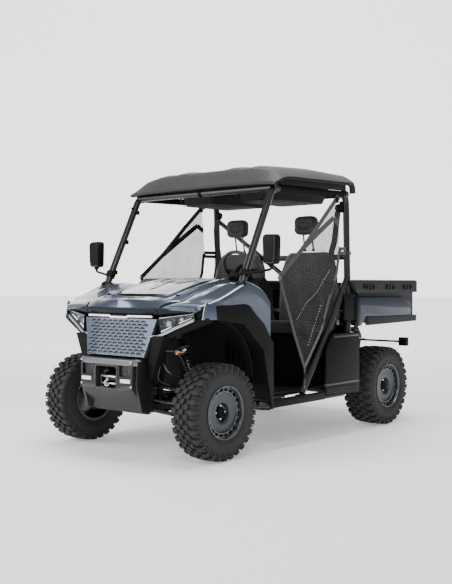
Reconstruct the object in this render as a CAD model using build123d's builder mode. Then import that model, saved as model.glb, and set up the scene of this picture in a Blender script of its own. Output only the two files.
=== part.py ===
"""Two-seat utility side by side: tube cage, hard roof, side nets, tilting cargo bed, steered front wheels.

Millimetres. The front is -Y, the vehicle's left is +X, up is +Z, and the origin is on the ground
under the middle of the overall length. Stations are lengths measured rearwards from the front axle.
"""
import os
from math import cos, pi, radians, sin, tan

from build123d import *

os.makedirs("parts", exist_ok=True)

# ---- Driving dimensions -------------------------------------------------------------------
wheelbase = 1985
front_overhang = 375
rear_overhang = 480
length = front_overhang + wheelbase + rear_overhang
front_axle_y = front_overhang - length / 2
firewall_to_axle = 424
cab_rear = wheelbase - firewall_to_axle

tyre_radius = 311
front_tyre_width = 203
rear_tyre_width = 245
front_track_half = 614
rear_track_half = 594
rim_flange_radius = 170
rim_seat_radius = 158
rim_wall = 7
wheel_disc = 45
disc_depth = 14
tread_depth = 17
tread_pitches = 16
running_gap = 0.5

kingpin_x = 540
steering_arm_reach = 98
steering_arm_z = tyre_radius + 55
spindle_radius = 20
ball_boss_radius = 13

body_half_width = 694
panel = 14

frame_tube = 25
frame_rail_x = 175
frame_rail_z = 310
rail_section = 40
rocker_x = body_half_width - 33
rocker_z = 305
cage_tube = 25
cage_x = body_half_width - 47
floor_z = 355
belly_z = 275

bed_front = cab_rear + 17
bed_rear = wheelbase + rear_overhang - 40
bed_half_width = body_half_width + 6
bed_floor_z = 840
bed_rail_z = 1146
bed_wall = 32
bed_hinge_station = bed_rear - 90
bed_hinge_z = bed_floor_z - 58
bed_hinge_radius = 16
tailgate_thickness = 34

seat_x = 343
seat_width = 540

steering_wheel_x = 350
steering_wheel_station = 610
steering_wheel_z = 1215
steering_wheel_radius = 175
steering_wheel_rim = 15
column_rake = 38
column_radius = 22
column_length = 90


# ---- Places and shared forms ----------------------------------------------------------------
def at(x, station, z):
    """The point at a station behind the front axle."""
    return (x, front_axle_y + station, z)


def side_plane(x):
    """A plane across X, whose sketch coordinates are (station, height)."""
    return Plane(origin=(x, front_axle_y, 0), x_dir=(0, 1, 0), z_dir=(1, 0, 0))


def cross_plane(station):
    """A plane across the length, whose sketch coordinates are (x, height)."""
    return Plane(origin=(0, front_axle_y + station, 0), x_dir=(1, 0, 0), z_dir=(0, -1, 0))


def level_plane(z):
    """A level plane, whose sketch coordinates are (x, station)."""
    return Plane(origin=(0, front_axle_y, z), x_dir=(1, 0, 0), z_dir=(0, 0, 1))


def outline(points):
    """A filled outline in the open sketch, its points where they are given."""
    return Polygon(*points, align=None)


def both_halves(points):
    """A closed outline from its +X half, mirrored about the centreline."""
    return list(points) + [(-x, z) for x, z in reversed(points)]


def block(x_range, stations, heights, mode=Mode.ADD):
    """A box in the open part between two x, two stations and two heights."""
    middle = [sum(pair) / 2 for pair in (x_range, stations, heights)]
    size = [abs(pair[1] - pair[0]) for pair in (x_range, stations, heights)]
    with Locations(at(*middle)):
        return Box(*size, mode=mode)


def eased(route, bend, chords):
    """The route with each corner opened into a bend of that radius, as one or two chords."""
    points = [Vector(*point) for point in route]
    result = [points[0]]
    for before, corner, after in zip(points, points[1:], points[2:]):
        back, ahead = before - corner, after - corner
        half_turn = (pi - radians(back.get_angle(ahead))) / 2
        reach = min(bend * tan(half_turn), 0.45 * back.length, 0.45 * ahead.length)
        inward = (back.normalized() + ahead.normalized()).normalized()
        rise = reach / tan(half_turn) * (1 / cos(half_turn) - 1)
        middle = [corner + inward * rise] if chords == 2 else []
        result += [corner + back.normalized() * reach, *middle, corner + ahead.normalized() * reach]
    return result + [points[-1]]


def tube(route, radius, bend=60, chords=1, sides=8, mode=Mode.ADD):
    """A tube in the open part along straight runs, mitred at its bends."""
    with BuildLine() as path:
        Polyline(*[at(point.X, point.Y, point.Z) for point in eased(route, bend, chords)])
    with BuildSketch(Plane(origin=path.line @ 0, z_dir=path.line % 0)) as section:
        RegularPolygon(radius, sides)
    sweep(section.sketch, path=path.line, transition=Transition.RIGHT, mode=mode)


def plate(points, x_from, x_to, mode=Mode.ADD):
    """A plate in the open part, outlined in (station, height), between two x."""
    with BuildSketch(side_plane(x_from)) as profile:
        outline(points)
    extrude(profile.sketch, amount=x_to - x_from, mode=mode)


def front_plate(points, station_from, station_to, mode=Mode.ADD):
    """A plate in the open part, outlined in (x, height), between two stations."""
    with BuildSketch(cross_plane(station_to)) as profile:
        outline(points)
    extrude(profile.sketch, amount=station_to - station_from, mode=mode)


def skin_outline(half_points, thickness):
    """A closed skin across the centreline: the +X half of its top from the edge inwards, and its lowered copy."""
    top = list(half_points) + [(-x, z) for x, z in reversed(half_points)]
    return top + [(x, z - thickness) for x, z in reversed(top)]


def straight_loft():
    """Joins the open part's sections by straight lines, with each flat strip a true plane."""
    form = loft(ruled=True, mode=Mode.PRIVATE)
    add(Solid(Shell([Face(face.outer_wire()) if face.is_planar else face for face in form.faces()])))


def other_side():
    """Adds the mirror image of the open part about the centreline."""
    mirror(about=Plane.YZ)


# ---- Frame and floor --------------------------------------------------------------------------
frame_front = -205
frame_rear = bed_rear - 91
subframe_front = cab_rear + 31
subframe_rear = bed_hinge_station - 25
subframe_x = 245
subframe_top = 735
subframe_tube = 22
tower_top = 880
tower_x = 215
brace_tube = 19
floor_front = 505
rocker_rear = cab_rear - 111

with BuildPart() as main_frame:
    half_rail = rail_section / 2
    block((frame_rail_x - half_rail, frame_rail_x + half_rail), (frame_front, frame_rear),
          (frame_rail_z - half_rail, frame_rail_z + half_rail))
    # Rocker under the door opening, with its outriggers.
    tube([(frame_rail_x, floor_front - 25, frame_rail_z), (rocker_x, floor_front - 25, rocker_z),
          (rocker_x, rocker_rear, rocker_z), (frame_rail_x, rocker_rear, frame_rail_z)], frame_tube)
    # Shock tower of the front suspension, braced back to the rail.
    tube([(frame_rail_x, -58, frame_rail_z), (tower_x, -30, tower_top), (tower_x, 60, tower_top),
          (frame_rail_x, 220, frame_rail_z)], brace_tube, 40, sides=6)
    # Rear subframe that carries the cargo bed.
    tube([(frame_rail_x, subframe_front, frame_rail_z), (subframe_x, subframe_front, subframe_top),
          (subframe_x, subframe_rear, subframe_top), (frame_rail_x, subframe_rear, frame_rail_z)], subframe_tube,
         sides=6)
    other_side()
    for station in (frame_front + 20, 300, 900, rocker_rear, frame_rear - 30):
        block((-frame_rail_x, frame_rail_x), (station - 20, station + 20), (frame_rail_z - 28, frame_rail_z - 12))
    tube([(-tower_x, 10, tower_top), (tower_x, 10, tower_top)], brace_tube, sides=6)
    for station in (subframe_front + 120, bed_hinge_station - 110):
        tube([(-subframe_x, station, subframe_top), (subframe_x, station, subframe_top)], brace_tube, sides=6)

skid_rear = cab_rear - 61
with BuildPart() as skid_plate:
    with BuildSketch(level_plane(belly_z)):
        outline(both_halves([(150, frame_front), (300, 420), (300, skid_rear - 100), (200, skid_rear)]))
    extrude(amount=6)

floor_rear = cab_rear - 16
floor_half = body_half_width - 79
floor_plate = 14
toe_station = floor_front - 55
toe_top = 860
tunnel_half_width = 120
tunnel_z = 470
seat_base_front = cab_rear - 551
with BuildPart() as floor_pan:
    block((-floor_half, floor_half), (floor_front, floor_rear), (floor_z, floor_z + floor_plate))
    # Sloping toe board up to the upright bulkhead behind the front suspension.
    plate([(floor_front, floor_z), (toe_station, 540), (toe_station, toe_top), (toe_station + panel, toe_top),
           (toe_station + panel, 545), (floor_front + panel, floor_z + floor_plate)], 30 - floor_half, floor_half - 30)
    front_plate(both_halves([(tunnel_half_width, floor_z + floor_plate), (tunnel_half_width - 20, tunnel_z)]),
                floor_front + panel, seat_base_front - 55)

seat_base_rear = cab_rear - 61
seat_base_top = 742
with BuildPart() as seat_base:
    plate([(seat_base_front, floor_z + floor_plate), (seat_base_front - 30, 640), (seat_base_front, seat_base_top),
           (seat_base_rear, seat_base_top), (seat_base_rear, floor_z + floor_plate)], 15 - floor_half, floor_half - 15)

# ---- Cage -------------------------------------------------------------------------------------
cage_foot_x = body_half_width - 53
foot_plate = 8
foot_z = rocker_z + frame_tube + running_gap
windscreen_foot = (cage_x, 218, 1097)
windscreen_top = (cage_x, 552, 1770)
rear_top = (cage_x, cab_rear - 102, 1790)
rear_knee = (cage_x, cab_rear - 73, 900)
rear_foot = (rocker_x, rocker_rear - 5, foot_z + foot_plate)
shoulder_bar_z = 1322
with BuildPart() as cage:
    # One bent tube a side: cowl foot, A-pillar, roof rail and rear pillar.
    tube([(cage_foot_x, floor_front + 10, foot_z + foot_plate), (cage_foot_x, 500, 480), (cage_foot_x, 405, 900),
          windscreen_foot, windscreen_top, rear_top, rear_knee, rear_foot], cage_tube, 75, 2)
    # Brace from the rocker up to the rear pillar, behind the door opening.
    tube([(rocker_x, cab_rear - 689, foot_z + 20), (cage_x, cab_rear - 339, 780), (cage_x, cab_rear - 76, 1170)],
         cage_tube, 300, 2)
    for x, station in ((cage_foot_x, floor_front + 10), (rocker_x, rocker_rear - 5), (rocker_x, cab_rear - 692)):
        block((x - 30, x + 26), (station - 34, station + 34), (foot_z, foot_z + foot_plate + 3))
    other_side()
    for x, station, z in (windscreen_top, rear_top, (cage_x, cab_rear - 86, shoulder_bar_z), rear_knee,
                          (cage_foot_x, 398, 935)):
        tube([(-x, station, z), (x, station, z)], 22, sides=6)
    # Diagonal of the rear hoop.
    tube([(-cage_x, cab_rear - 98, 1661), (cage_x, cab_rear - 76, 778)], brace_tube)

# ---- Roof ---------------------------------------------------------------------------------------
roof_skin = 20
haunch_share = 0.86
rail_share = 0.6
crown_share = 0.3
# Columns: station, half width past the body, then the heights of edge, haunch, rail and crown.
roof_sections = [
    (514, 10, 1806, 1813, 1818, 1821),
    (596, 8, 1842, 1900, 1922, 1926),
    (700, 6, 1860, 1925, 1946, 1952),
    (cab_rear - 421, 0, 1872, 1944, 1972, 1984),
    (cab_rear - 41, -10, 1882, 1945, 1968, 1976),
]
with BuildPart() as roof:
    for station, past, edge, haunch, rail, crown in roof_sections:
        half = body_half_width + past
        with BuildSketch(cross_plane(station)):
            outline(skin_outline([(half, edge), (half * haunch_share, haunch), (half * rail_share, rail),
                                  (half * crown_share, crown)], roof_skin))
    straight_loft()

pod_front = cab_rear - 761
pod_rear = cab_rear - 121
liner_z = 1850
pod_bottom = 1725
pod_x = 285
with BuildPart() as roof_liner:
    # A moulded pod over each seat, narrower below, under a panel that rests on the cage rails.
    for z, half, inset in ((pod_bottom, 190, 40), (liner_z, 225, 0)):
        with BuildSketch(level_plane(z)):
            outline([(pod_x + half - 60, pod_front + inset), (pod_x + half, pod_front + inset + 90),
                     (pod_x + half, pod_rear - inset), (pod_x - half, pod_rear - inset),
                     (pod_x - half, pod_front + inset + 90), (pod_x - half + 60, pod_front + inset)])
    straight_loft()
    plate([(620, 1799), (pod_rear, 1818), (pod_rear, 1870), (cab_rear - 421, 1868), (700, 1856), (620, 1838)],
          cage_x - 15, cage_x + 15)
    other_side()
    block((15 - cage_x, cage_x - 15), (700, pod_rear), (liner_z, liner_z + 8))

# ---- Front body -----------------------------------------------------------------------------------
hood_skin = 16
# Across the hood, as shares of its half width: how far out, and how far above the side.
hood_profile = [(1, 0), (0.78, 0.038), (0.6, 0.026), (0.3, 0.045)]
# Columns: station, half width, height of the side, and the depth of the skin.
hood_sections = [
    (-262, 335, 988, 60),
    (-225, 352, 1002, 52),
    (-120, 425, 1010, hood_skin),
    (100, 398, 1070, hood_skin),
    (300, 372, 1116, hood_skin),
    (470, 360, 1142, hood_skin),
]
with BuildPart() as hood:
    for station, half, side_z, depth in hood_sections:
        with BuildSketch(cross_plane(station)):
            outline(skin_outline([(half * out, side_z + half * up) for out, up in hood_profile], depth))
    straight_loft()

# Columns: station, seam x and height, inset of the side, height of the brow and of the lower edge.
fender_sections = [
    (-165, 440, 974, 82, 968, 946),
    (-82, 430, 1008, 12, 1008, 984),
    (60, 410, 1060, 2, 1060, 984),
    (235, 387, 1104, 0, 1128, 984),
    (310, 377, 1118, 0, 1118, 925),
    (402, 372, 1130, 0, 1080, 850),
    (474, 368, 1140, 0, 1006, 752),
]
brow = (28, 20)
with BuildPart() as fenders:
    for station, seam_x, seam_z, inset, brow_z, edge_z in fender_sections:
        side_x = body_half_width - inset
        with BuildSketch(cross_plane(station)):
            outline([(seam_x, seam_z), (side_x - brow[0], brow_z), (side_x, brow_z - brow[1]), (side_x, edge_z),
                     (side_x - panel, edge_z), (side_x - panel, brow_z - brow[1] - 6),
                     (side_x - brow[0] - 6, brow_z - panel), (seam_x, seam_z - panel)])
    straight_loft()
    # The A-pillar comes up through the fender.
    tube([(cage_x, 195, 1030), (cage_x, 222, 1100), (cage_x, 300, 1262)], cage_tube + 12, 20, sides=6,
         mode=Mode.SUBTRACT)
    other_side()

flare_inner_x = 440
flare_proud = 12
arch_gap = 10
with BuildPart() as flares:
    # Side of the arch, from the blade at the front down to the foot of the rear skirt.
    plate([(-194, 896), (-162, 1000), (-90, 981), (235, 981), (300, 925), (395, 852), (470, 752), (492, 730),
           (496, 290), (483, 282), (470, 309), (436, 450), (387, 682), (175, 862), (-80, 896)],
          body_half_width - 6, body_half_width + flare_proud)
    # Liner over the tyre.
    plate([(-78, 896), (175, 862), (387, 682), (436, 450), (466, 340), (466 + arch_gap, 340), (436 + arch_gap, 452),
           (387 + arch_gap, 687), (180, 862 + arch_gap), (-78, 896 + arch_gap)],
          flare_inner_x, body_half_width - 6)
    other_side()

lamp_turn = 16.7
lamp_depth = 80
lamp_inner = (350, -229)
lamp_face = Plane(origin=at(lamp_inner[0], lamp_inner[1] - 16, 0),
                  x_dir=(cos(radians(lamp_turn)), sin(radians(lamp_turn)), 0),
                  z_dir=(sin(radians(lamp_turn)), -cos(radians(lamp_turn)), 0))
with BuildPart() as headlights:
    with BuildSketch(lamp_face):
        outline([(0, 912), (268, 944), (262, 905), (120, 846), (12, 797)])
    extrude(amount=-lamp_depth)
    other_side()

grille_foot = (270, -291, 650)
grille_head = (339, -240, 897)
grille_thickness = 30
scale_rows = 6
scale_columns = 6
scale_proud = 6
with BuildPart() as grille:
    rise = (Vector(0, grille_head[1], grille_head[2]) - Vector(0, grille_foot[1], grille_foot[2]))
    lean = rise.normalized()
    grille_face = Plane(origin=at(0, *grille_foot[1:]), x_dir=(1, 0, 0), z_dir=(0, -lean.Z, lean.Y))
    with BuildSketch(grille_face):
        outline([(-grille_foot[0], 0), (grille_foot[0], 0), (grille_head[0], rise.length),
                 (-grille_head[0], rise.length)])
    extrude(amount=-grille_thickness)
    # Staggered rows of raised scales, wider towards the top with the face.
    row_pitch = rise.length / scale_rows
    with BuildSketch(grille_face):
        for row in range(scale_rows):
            height = row_pitch * (row + 0.5)
            half = grille_foot[0] + (grille_head[0] - grille_foot[0]) * row / scale_rows
            pitch = 2 * half / (scale_columns + 0.5)
            for column in range(scale_columns):
                x = -half + pitch * (column + (0.5 if row % 2 else 1))
                with Locations((x, height)):
                    Polygon((-pitch * 0.44, 0), (0, -row_pitch * 0.42), (pitch * 0.44, 0), (0, row_pitch * 0.42),
                            align=None)
    extrude(amount=scale_proud)

light_bar_half = 300
with BuildPart() as light_bar:
    front_plate([(-light_bar_half, 903), (-95, 903), (-75, 899), (75, 899), (95, 903), (light_bar_half, 903),
                 (light_bar_half, 918), (95, 918), (75, 914), (-75, 914), (-95, 918), (-light_bar_half, 918)],
                -262, -235)

cheek_front = -262
with BuildPart() as fascia:
    # Cheek beside the grille, then the strip under the lamp out to the fender blade.
    front_plate([(276, 640), (286, 505), (330, 560), (418, 786), (362, 790), (322, 790)], cheek_front, -190)
    with BuildSketch(lamp_face.offset(-6)):
        outline([(14, 790), (264, 897), (350, 905), (350, 880), (300, 858), (60, 770)])
    extrude(amount=-60)
    other_side()
    front_plate(both_halves([(318, 640), (318, 905)]), frame_front, frame_front + 10)

# ---- Bumper -----------------------------------------------------------------------------------------
marker_depth = 8
bumper_face = marker_depth - front_overhang
bumper_half = 247
bumper_top = 636
bumper_wall = 32
winch_half_width = 98
winch_top = 589
winch_foot = 450
side_window = (126, 228)
bumper_side = 22
with BuildPart() as bumper:
    plate([(bumper_face + 14, bumper_top), (bumper_face, 600), (bumper_face, 455), (-240, belly_z + 7),
           (frame_front, belly_z + 7), (frame_front, frame_rail_z + 20), (-240, frame_rail_z + 20),
           (bumper_face + bumper_wall, 460), (bumper_face + bumper_wall, bumper_top)], -bumper_half, bumper_half)
    front_plate(both_halves([(winch_half_width - 12, winch_foot), (winch_half_width, winch_foot + 14),
                             (winch_half_width, winch_top - 14), (winch_half_width - 12, winch_top)]),
                bumper_face - 10, -250, Mode.SUBTRACT)
    # Side windows above the marker lamps, closed by a mesh at the back.
    for out in (-1, 1):
        front_plate([(out * side_window[0], 528), (out * side_window[1], 528), (out * side_window[1], 612),
                     (out * side_window[0], 600)], bumper_face - 10, bumper_face + bumper_wall - 8, Mode.SUBTRACT)
    # Side plates back to the frame.
    plate([(-300, 301), (-348, 470), (-340, bumper_top), (frame_front, bumper_top - 20), (frame_front, 301)],
          bumper_half, bumper_half + bumper_side)
    other_side()

marker_x = 185
marker_half = 45
marker_z = 502
with BuildPart() as marker_lamps:
    block((marker_x - marker_half, marker_x + marker_half), (bumper_face - marker_depth, bumper_face),
          (marker_z - 12, marker_z + 12))
    other_side()

winch_z = 500
winch_station = -275
with BuildPart() as winch:
    with BuildSketch(side_plane(-60)):
        with Locations((winch_station, winch_z)):
            RegularPolygon(30, 12)
    extrude(amount=120)
    for x in (-78, 60):
        block((x, x + 18), (winch_station - 40, winch_station + 40), (winch_z - 45, winch_z + 45))
    block((-78, 78), (winch_station + 20, frame_front), (winch_z - 45, winch_z - 37))

# ---- Cab inside ---------------------------------------------------------------------------------------
column = (0, cos(radians(column_rake)), sin(radians(column_rake)))
wheel_centre = at(steering_wheel_x, steering_wheel_station, steering_wheel_z)
hub_length = 50
hub_radius = 32
wheel_plane = Plane(origin=wheel_centre, x_dir=(1, 0, 0), z_dir=column)
dash_half = cage_x - 62
dash_front = toe_station + 30
dash_wall = 12
with BuildPart() as dash:
    plate([(dash_front, 850), (dash_front, 1124), (560, 1160), (640, 1085), (652, 900), (600, 850)],
          -dash_half, dash_half)
    plate([(dash_front + dash_wall, 850 + dash_wall), (dash_front + dash_wall, 1114), (558, 1144),
           (640 - dash_wall, 1079), (652 - dash_wall, 905), (595, 850 + dash_wall)],
          dash_wall - dash_half, dash_half - dash_wall, Mode.SUBTRACT)
    with BuildSketch(wheel_plane.offset(-hub_length + 20)):
        RegularPolygon(column_radius + 5, 12)
    extrude(amount=-column_length - 30, mode=Mode.SUBTRACT)

with BuildPart() as steering_column:
    with BuildSketch(wheel_plane.offset(-hub_length - 4)):
        RegularPolygon(column_radius, 12)
    extrude(amount=-column_length)

rim_sides = 24
spoke_width = 34
with BuildPart() as steering_wheel:
    with BuildSketch(wheel_plane.offset(-steering_wheel_rim)):
        RegularPolygon(steering_wheel_radius, rim_sides)
        RegularPolygon(steering_wheel_radius - 2 * steering_wheel_rim, rim_sides, mode=Mode.SUBTRACT)
    extrude(amount=2 * steering_wheel_rim)
    for flat in (steering_wheel.faces().sort_by(Axis(wheel_centre, column))[index] for index in (0, -1)):
        chamfer(flat.edges(), steering_wheel_rim * 0.55)
    with BuildSketch(wheel_plane.offset(-hub_length)):
        RegularPolygon(hub_radius, 12)
    extrude(amount=hub_length - 12)
    spoke_reach = steering_wheel_radius - steering_wheel_rim
    with BuildSketch(wheel_plane.offset(-18)):
        for turn in (0, 180, 270):
            with Locations(Location((0, 0, 0), (0, 0, turn))):
                with Locations((spoke_reach / 2, 0)):
                    Rectangle(spoke_reach, spoke_width)
        RegularPolygon(48, 12)
    extrude(amount=12)

seat_half = seat_width / 2
cushion_top = 835
back_rear = cab_rear - 116
with BuildPart() as seat_cushions:
    plate([(seat_base_front - 22, seat_base_top + 4), (seat_base_front - 24, cushion_top - 12),
           (seat_base_front + 6, cushion_top), (seat_base_front + 240, cushion_top - 20),
           (back_rear - 100, cushion_top - 22), (back_rear - 100, seat_base_top + 4)], seat_x - seat_half, seat_x + seat_half)
    other_side()

seat_back_top = 1374
shoulder_half = 190
with BuildPart() as seat_backs:
    plate([(back_rear - 96, seat_base_top + 8), (back_rear - 46, seat_base_top + 8), (back_rear, 1240),
           (back_rear, 1350), (back_rear - 12, seat_back_top), (back_rear - 52, seat_back_top),
           (back_rear - 78, 1345), (back_rear - 98, 1000)], seat_x - seat_half, seat_x + seat_half)
    # Shoulders that slope in to a narrower top.
    front_plate([(seat_x - seat_half, seat_base_top), (seat_x + seat_half, seat_base_top),
                 (seat_x + seat_half, 1180), (seat_x + shoulder_half + 22, 1340), (seat_x + shoulder_half, seat_back_top),
                 (seat_x - shoulder_half, seat_back_top), (seat_x - shoulder_half - 22, 1340),
                 (seat_x - seat_half, 1180)], back_rear - 110, back_rear + 10, Mode.INTERSECT)
    other_side()

headrest_z = 1567
headrest_station = cab_rear - 189
headrest_half = 98
headrest_rise = 70
recess = 10
with BuildPart() as headrests:
    front_plate([(seat_x + dx, headrest_z + dz) for dx, dz in
                 ((headrest_half, 38), (66, headrest_rise), (-66, headrest_rise), (-headrest_half, 38),
                  (-headrest_half, -38), (-66, -headrest_rise), (66, -headrest_rise), (headrest_half, -38))],
                headrest_station - 30, headrest_station + 35)
    front_plate([(seat_x + 58 * cos(step * pi / 5), headrest_z + 34 * sin(step * pi / 5)) for step in range(10)],
                headrest_station - 31, headrest_station - 30 + recess, Mode.SUBTRACT)
    for dx in (-40, 40):
        tube([(seat_x + dx, headrest_station + 20, headrest_z - headrest_rise + 2),
              (seat_x + dx, back_rear - 30, seat_back_top + 3)], 7, sides=6)
    other_side()

firewall_thickness = 12
with BuildPart() as firewall:
    plate([(cab_rear - firewall_thickness, floor_z), (cab_rear, floor_z), (cab_rear, 1075),
           (cab_rear - firewall_thickness, 1075)], 15 - floor_half, floor_half - 15)

# ---- Nets, mirrors and side panels ------------------------------------------------------------------
net_thickness = 4
net_x = cage_x + cage_tube - 4
net_outline = [(cab_rear - 237, 1773), (599, 1167), (741, 842), (892, 531), (cab_rear - 465, 784),
               (cab_rear - 376, 974), (cab_rear - 258, 1205), (cab_rear - 231, 1369)]
nets = {}
for name, edge in (("net_left", net_x), ("net_right", -net_x - net_thickness)):
    with BuildPart() as net:
        plate(net_outline, edge, edge + net_thickness)
    nets[name] = net

mirror_x = cage_x + 193
mirror_station = 292
mirror_z = 1342
mirror_half = (55, 31, 97)
with BuildPart() as mirrors:
    front_plate([(mirror_x + dx, mirror_z + dz) for dx, dz in
                 ((mirror_half[0], 80), (42, mirror_half[2]), (-42, mirror_half[2]), (-mirror_half[0], 80),
                  (-mirror_half[0], -80), (-42, -mirror_half[2]), (42, -mirror_half[2]), (mirror_half[0], -80))],
                mirror_station - mirror_half[1], mirror_station + mirror_half[1])
    tube([(mirror_x, mirror_station, mirror_z - mirror_half[2] + 2), (mirror_x, mirror_station, 1215),
          (cage_x + cage_tube + 3, 243, 1187)], 11, 30)
    other_side()

step_front = cab_rear - 455
step_rear = cab_rear - 3
step_z = 387
side_out = body_half_width + flare_proud
side_panel = 16
with BuildPart() as side_panels:
    # Rear quarter panel below the seat, and the step at its foot.
    plate([(step_front + 108, 756), (step_front + 14, 640), (step_front, step_z), (step_front, 303),
           (step_rear, 303), (step_rear, 753)], side_out - side_panel, side_out)
    plate([(step_front, 303), (step_rear, 303), (step_rear, 317), (step_front, 317)],
          rocker_x + frame_tube, side_out - side_panel)
    # Air intake panel behind the seat.
    plate([(step_rear - 173, 1044), (step_rear - 179, 850), (step_rear - 26, 845), (step_rear - 26, 1044)],
          cage_x + cage_tube + 4, cage_x + cage_tube + 4 + panel)
    other_side()

# ---- Power and drive -----------------------------------------------------------------------------------
engine_rear = wheelbase - 55
shaft_z = frame_rail_z + 13
with BuildPart() as engine:
    block((-140, 140), (cab_rear + 17, engine_rear), (345, 700))

with BuildPart() as driveline:
    block((-110, 110), (-68, 90), (frame_rail_z - 8, frame_rail_z + 60))
    tube([(0, 90, shaft_z), (0, engine_rear + 5, shaft_z)], 16)
    block((-110, 110), (engine_rear + 5, wheelbase + 90), (frame_rail_z - 8, frame_rail_z + 70))
    for x, station in ((kingpin_x - 52, 0), (rear_track_half - 142, wheelbase)):
        for out in (-1, 1):
            tube([(out * 110, station, frame_rail_z + 46), (out * x, station, tyre_radius)], 14)

muffler_station = bed_rear - 240
with BuildPart() as muffler:
    with BuildSketch(side_plane(-200)):
        with Locations((muffler_station, 560)):
            RegularPolygon(80, 12)
    extrude(amount=400)
    tube([(-120, muffler_station - 60, 560), (-120, engine_rear + 4, 560)], 22)

hitch_rear = bed_rear + 27
hitch_z = 420
receiver = 64
receiver_bore = 51
hitch_pin = 16
hitch_pin_station = hitch_rear - 45
with BuildPart() as hitch:
    front_plate([(x - receiver / 2, z + hitch_z - receiver / 2) for x, z in
                 ((0, 0), (receiver, 0), (receiver, receiver), (0, receiver))], frame_rear + 12, hitch_rear)
    front_plate([(x - receiver_bore / 2, z + hitch_z - receiver_bore / 2) for x, z in
                 ((0, 0), (receiver_bore, 0), (receiver_bore, receiver_bore), (0, receiver_bore))],
                frame_rear + 24, hitch_rear + 10, Mode.SUBTRACT)
    with BuildSketch(side_plane(-receiver)):
        with Locations((hitch_pin_station, hitch_z)):
            Circle(hitch_pin / 2)
    extrude(amount=2 * receiver, mode=Mode.SUBTRACT)
    block((-230, 230), (frame_rear, frame_rear + 12), (frame_rail_z - 20, hitch_z + 60))

tail_z = 640
with BuildPart() as taillights:
    block((600, 670), (subframe_rear + 22, subframe_rear + 70), (tail_z - 35, tail_z + 35))
    block((225, 600), (subframe_rear + 22, subframe_rear + 34), (tail_z - 16, tail_z + 16))
    other_side()

# ---- Suspension --------------------------------------------------------------------------------------------
lower_ball_z = tyre_radius - 75
upper_ball_z = tyre_radius + 85
knuckle_gap = 10
arm_tube = 14
arm_pad = 14
with BuildPart() as front_arms:
    for ball_z, away, inner_x, inner_z, spread in ((lower_ball_z, -1, 215, 306, 165), (upper_ball_z, 1, 240, 455, 110)):
        eye_z = ball_z + away * arm_pad / 2
        tube([(inner_x, -spread, inner_z), (kingpin_x - 20, -6, eye_z)], arm_tube, sides=6)
        tube([(inner_x, spread, inner_z), (kingpin_x - 20, 6, eye_z)], arm_tube, sides=6)
        with BuildSketch(level_plane(ball_z)):
            with Locations((kingpin_x, 0)):
                RegularPolygon(22, 8)
            with Locations((kingpin_x - 16, 0)):
                Rectangle(32, 30)
        extrude(amount=away * arm_pad)
    other_side()

with BuildPart() as knuckle_left:
    with BuildSketch(level_plane(lower_ball_z + knuckle_gap)):
        with Locations((kingpin_x, 0)):
            Rectangle(36, 40)
    extrude(amount=upper_ball_z - lower_ball_z - 2 * knuckle_gap)
    # Bosses that face the pads of the arms.
    with BuildSketch(level_plane(lower_ball_z + running_gap)):
        with Locations((kingpin_x, 0)):
            Circle(ball_boss_radius)
    extrude(amount=knuckle_gap)
    with BuildSketch(level_plane(upper_ball_z - knuckle_gap)):
        with Locations((kingpin_x, 0)):
            RegularPolygon(ball_boss_radius, 8)
    extrude(amount=knuckle_gap - running_gap)
    with BuildSketch(side_plane(kingpin_x + 18)):
        with Locations((0, tyre_radius)):
            Circle(spindle_radius)
    extrude(amount=front_track_half + wheel_disc - disc_depth - running_gap - kingpin_x - 18)
    block((kingpin_x - 15, kingpin_x + 15), (-steering_arm_reach - 16, -18), (steering_arm_z, steering_arm_z + 12))

with BuildPart() as knuckle_right:
    add(knuckle_left.part.mirror(Plane.YZ))


def shock(foot, head):
    """A coil-over in the open part: its rod, spring and body along one line."""
    foot, head = Vector(*at(*foot)), Vector(*at(*head))
    for start_share, end_share, radius, sides in ((0, 1, 13, 6), (0.08, 0.62, 36, 10), (0.6, 0.98, 22, 8)):
        start, end = foot + (head - foot) * start_share, foot + (head - foot) * end_share
        with BuildSketch(Plane(origin=start, z_dir=head - foot)) as section:
            RegularPolygon(radius, sides)
        extrude(section.sketch, amount=(end - start).length)


with BuildPart() as front_shocks:
    shock((425, 25, upper_ball_z + 42), (tower_x + 43, 30, tower_top - 34))
    other_side()

rear_lower_z = tyre_radius - 70
rear_upper_z = tyre_radius + 80
carrier_x = rear_track_half - 134
with BuildPart() as rear_arms:
    for ball_z, inner_x, inner_z in ((rear_lower_z, 215, 290), (rear_upper_z, 235, 430)):
        tube([(inner_x, wheelbase - 170, inner_z), (carrier_x - 20, wheelbase - 20, ball_z)], arm_tube, sides=6)
        tube([(inner_x, wheelbase + 150, inner_z), (carrier_x - 20, wheelbase + 20, ball_z)], arm_tube, sides=6)
        block((carrier_x - 35, carrier_x), (wheelbase - 35, wheelbase + 35), (ball_z - 15, ball_z + 15))
    other_side()

with BuildPart() as rear_carriers:
    block((carrier_x, carrier_x + 32), (wheelbase - 40, wheelbase + 40), (rear_lower_z - 20, rear_upper_z + 20))
    with BuildSketch(side_plane(carrier_x + 32)):
        with Locations((wheelbase, tyre_radius)):
            Circle(spindle_radius)
    extrude(amount=rear_track_half + wheel_disc - disc_depth - running_gap - carrier_x - 32)
    other_side()

with BuildPart() as rear_shocks:
    shock((carrier_x - 60, wheelbase + 45, rear_upper_z + 29), (subframe_x + 40, wheelbase + 75, subframe_top - 30))
    other_side()

tie_rod = 9
rack_z = steering_arm_z - 5 - tie_rod
with BuildPart() as steering_rack:
    with BuildSketch(side_plane(-140)):
        with Locations((-steering_arm_reach, rack_z)):
            RegularPolygon(24, 10)
            RegularPolygon(tie_rod + 5, 10, mode=Mode.SUBTRACT)
    extrude(amount=280)

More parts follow.
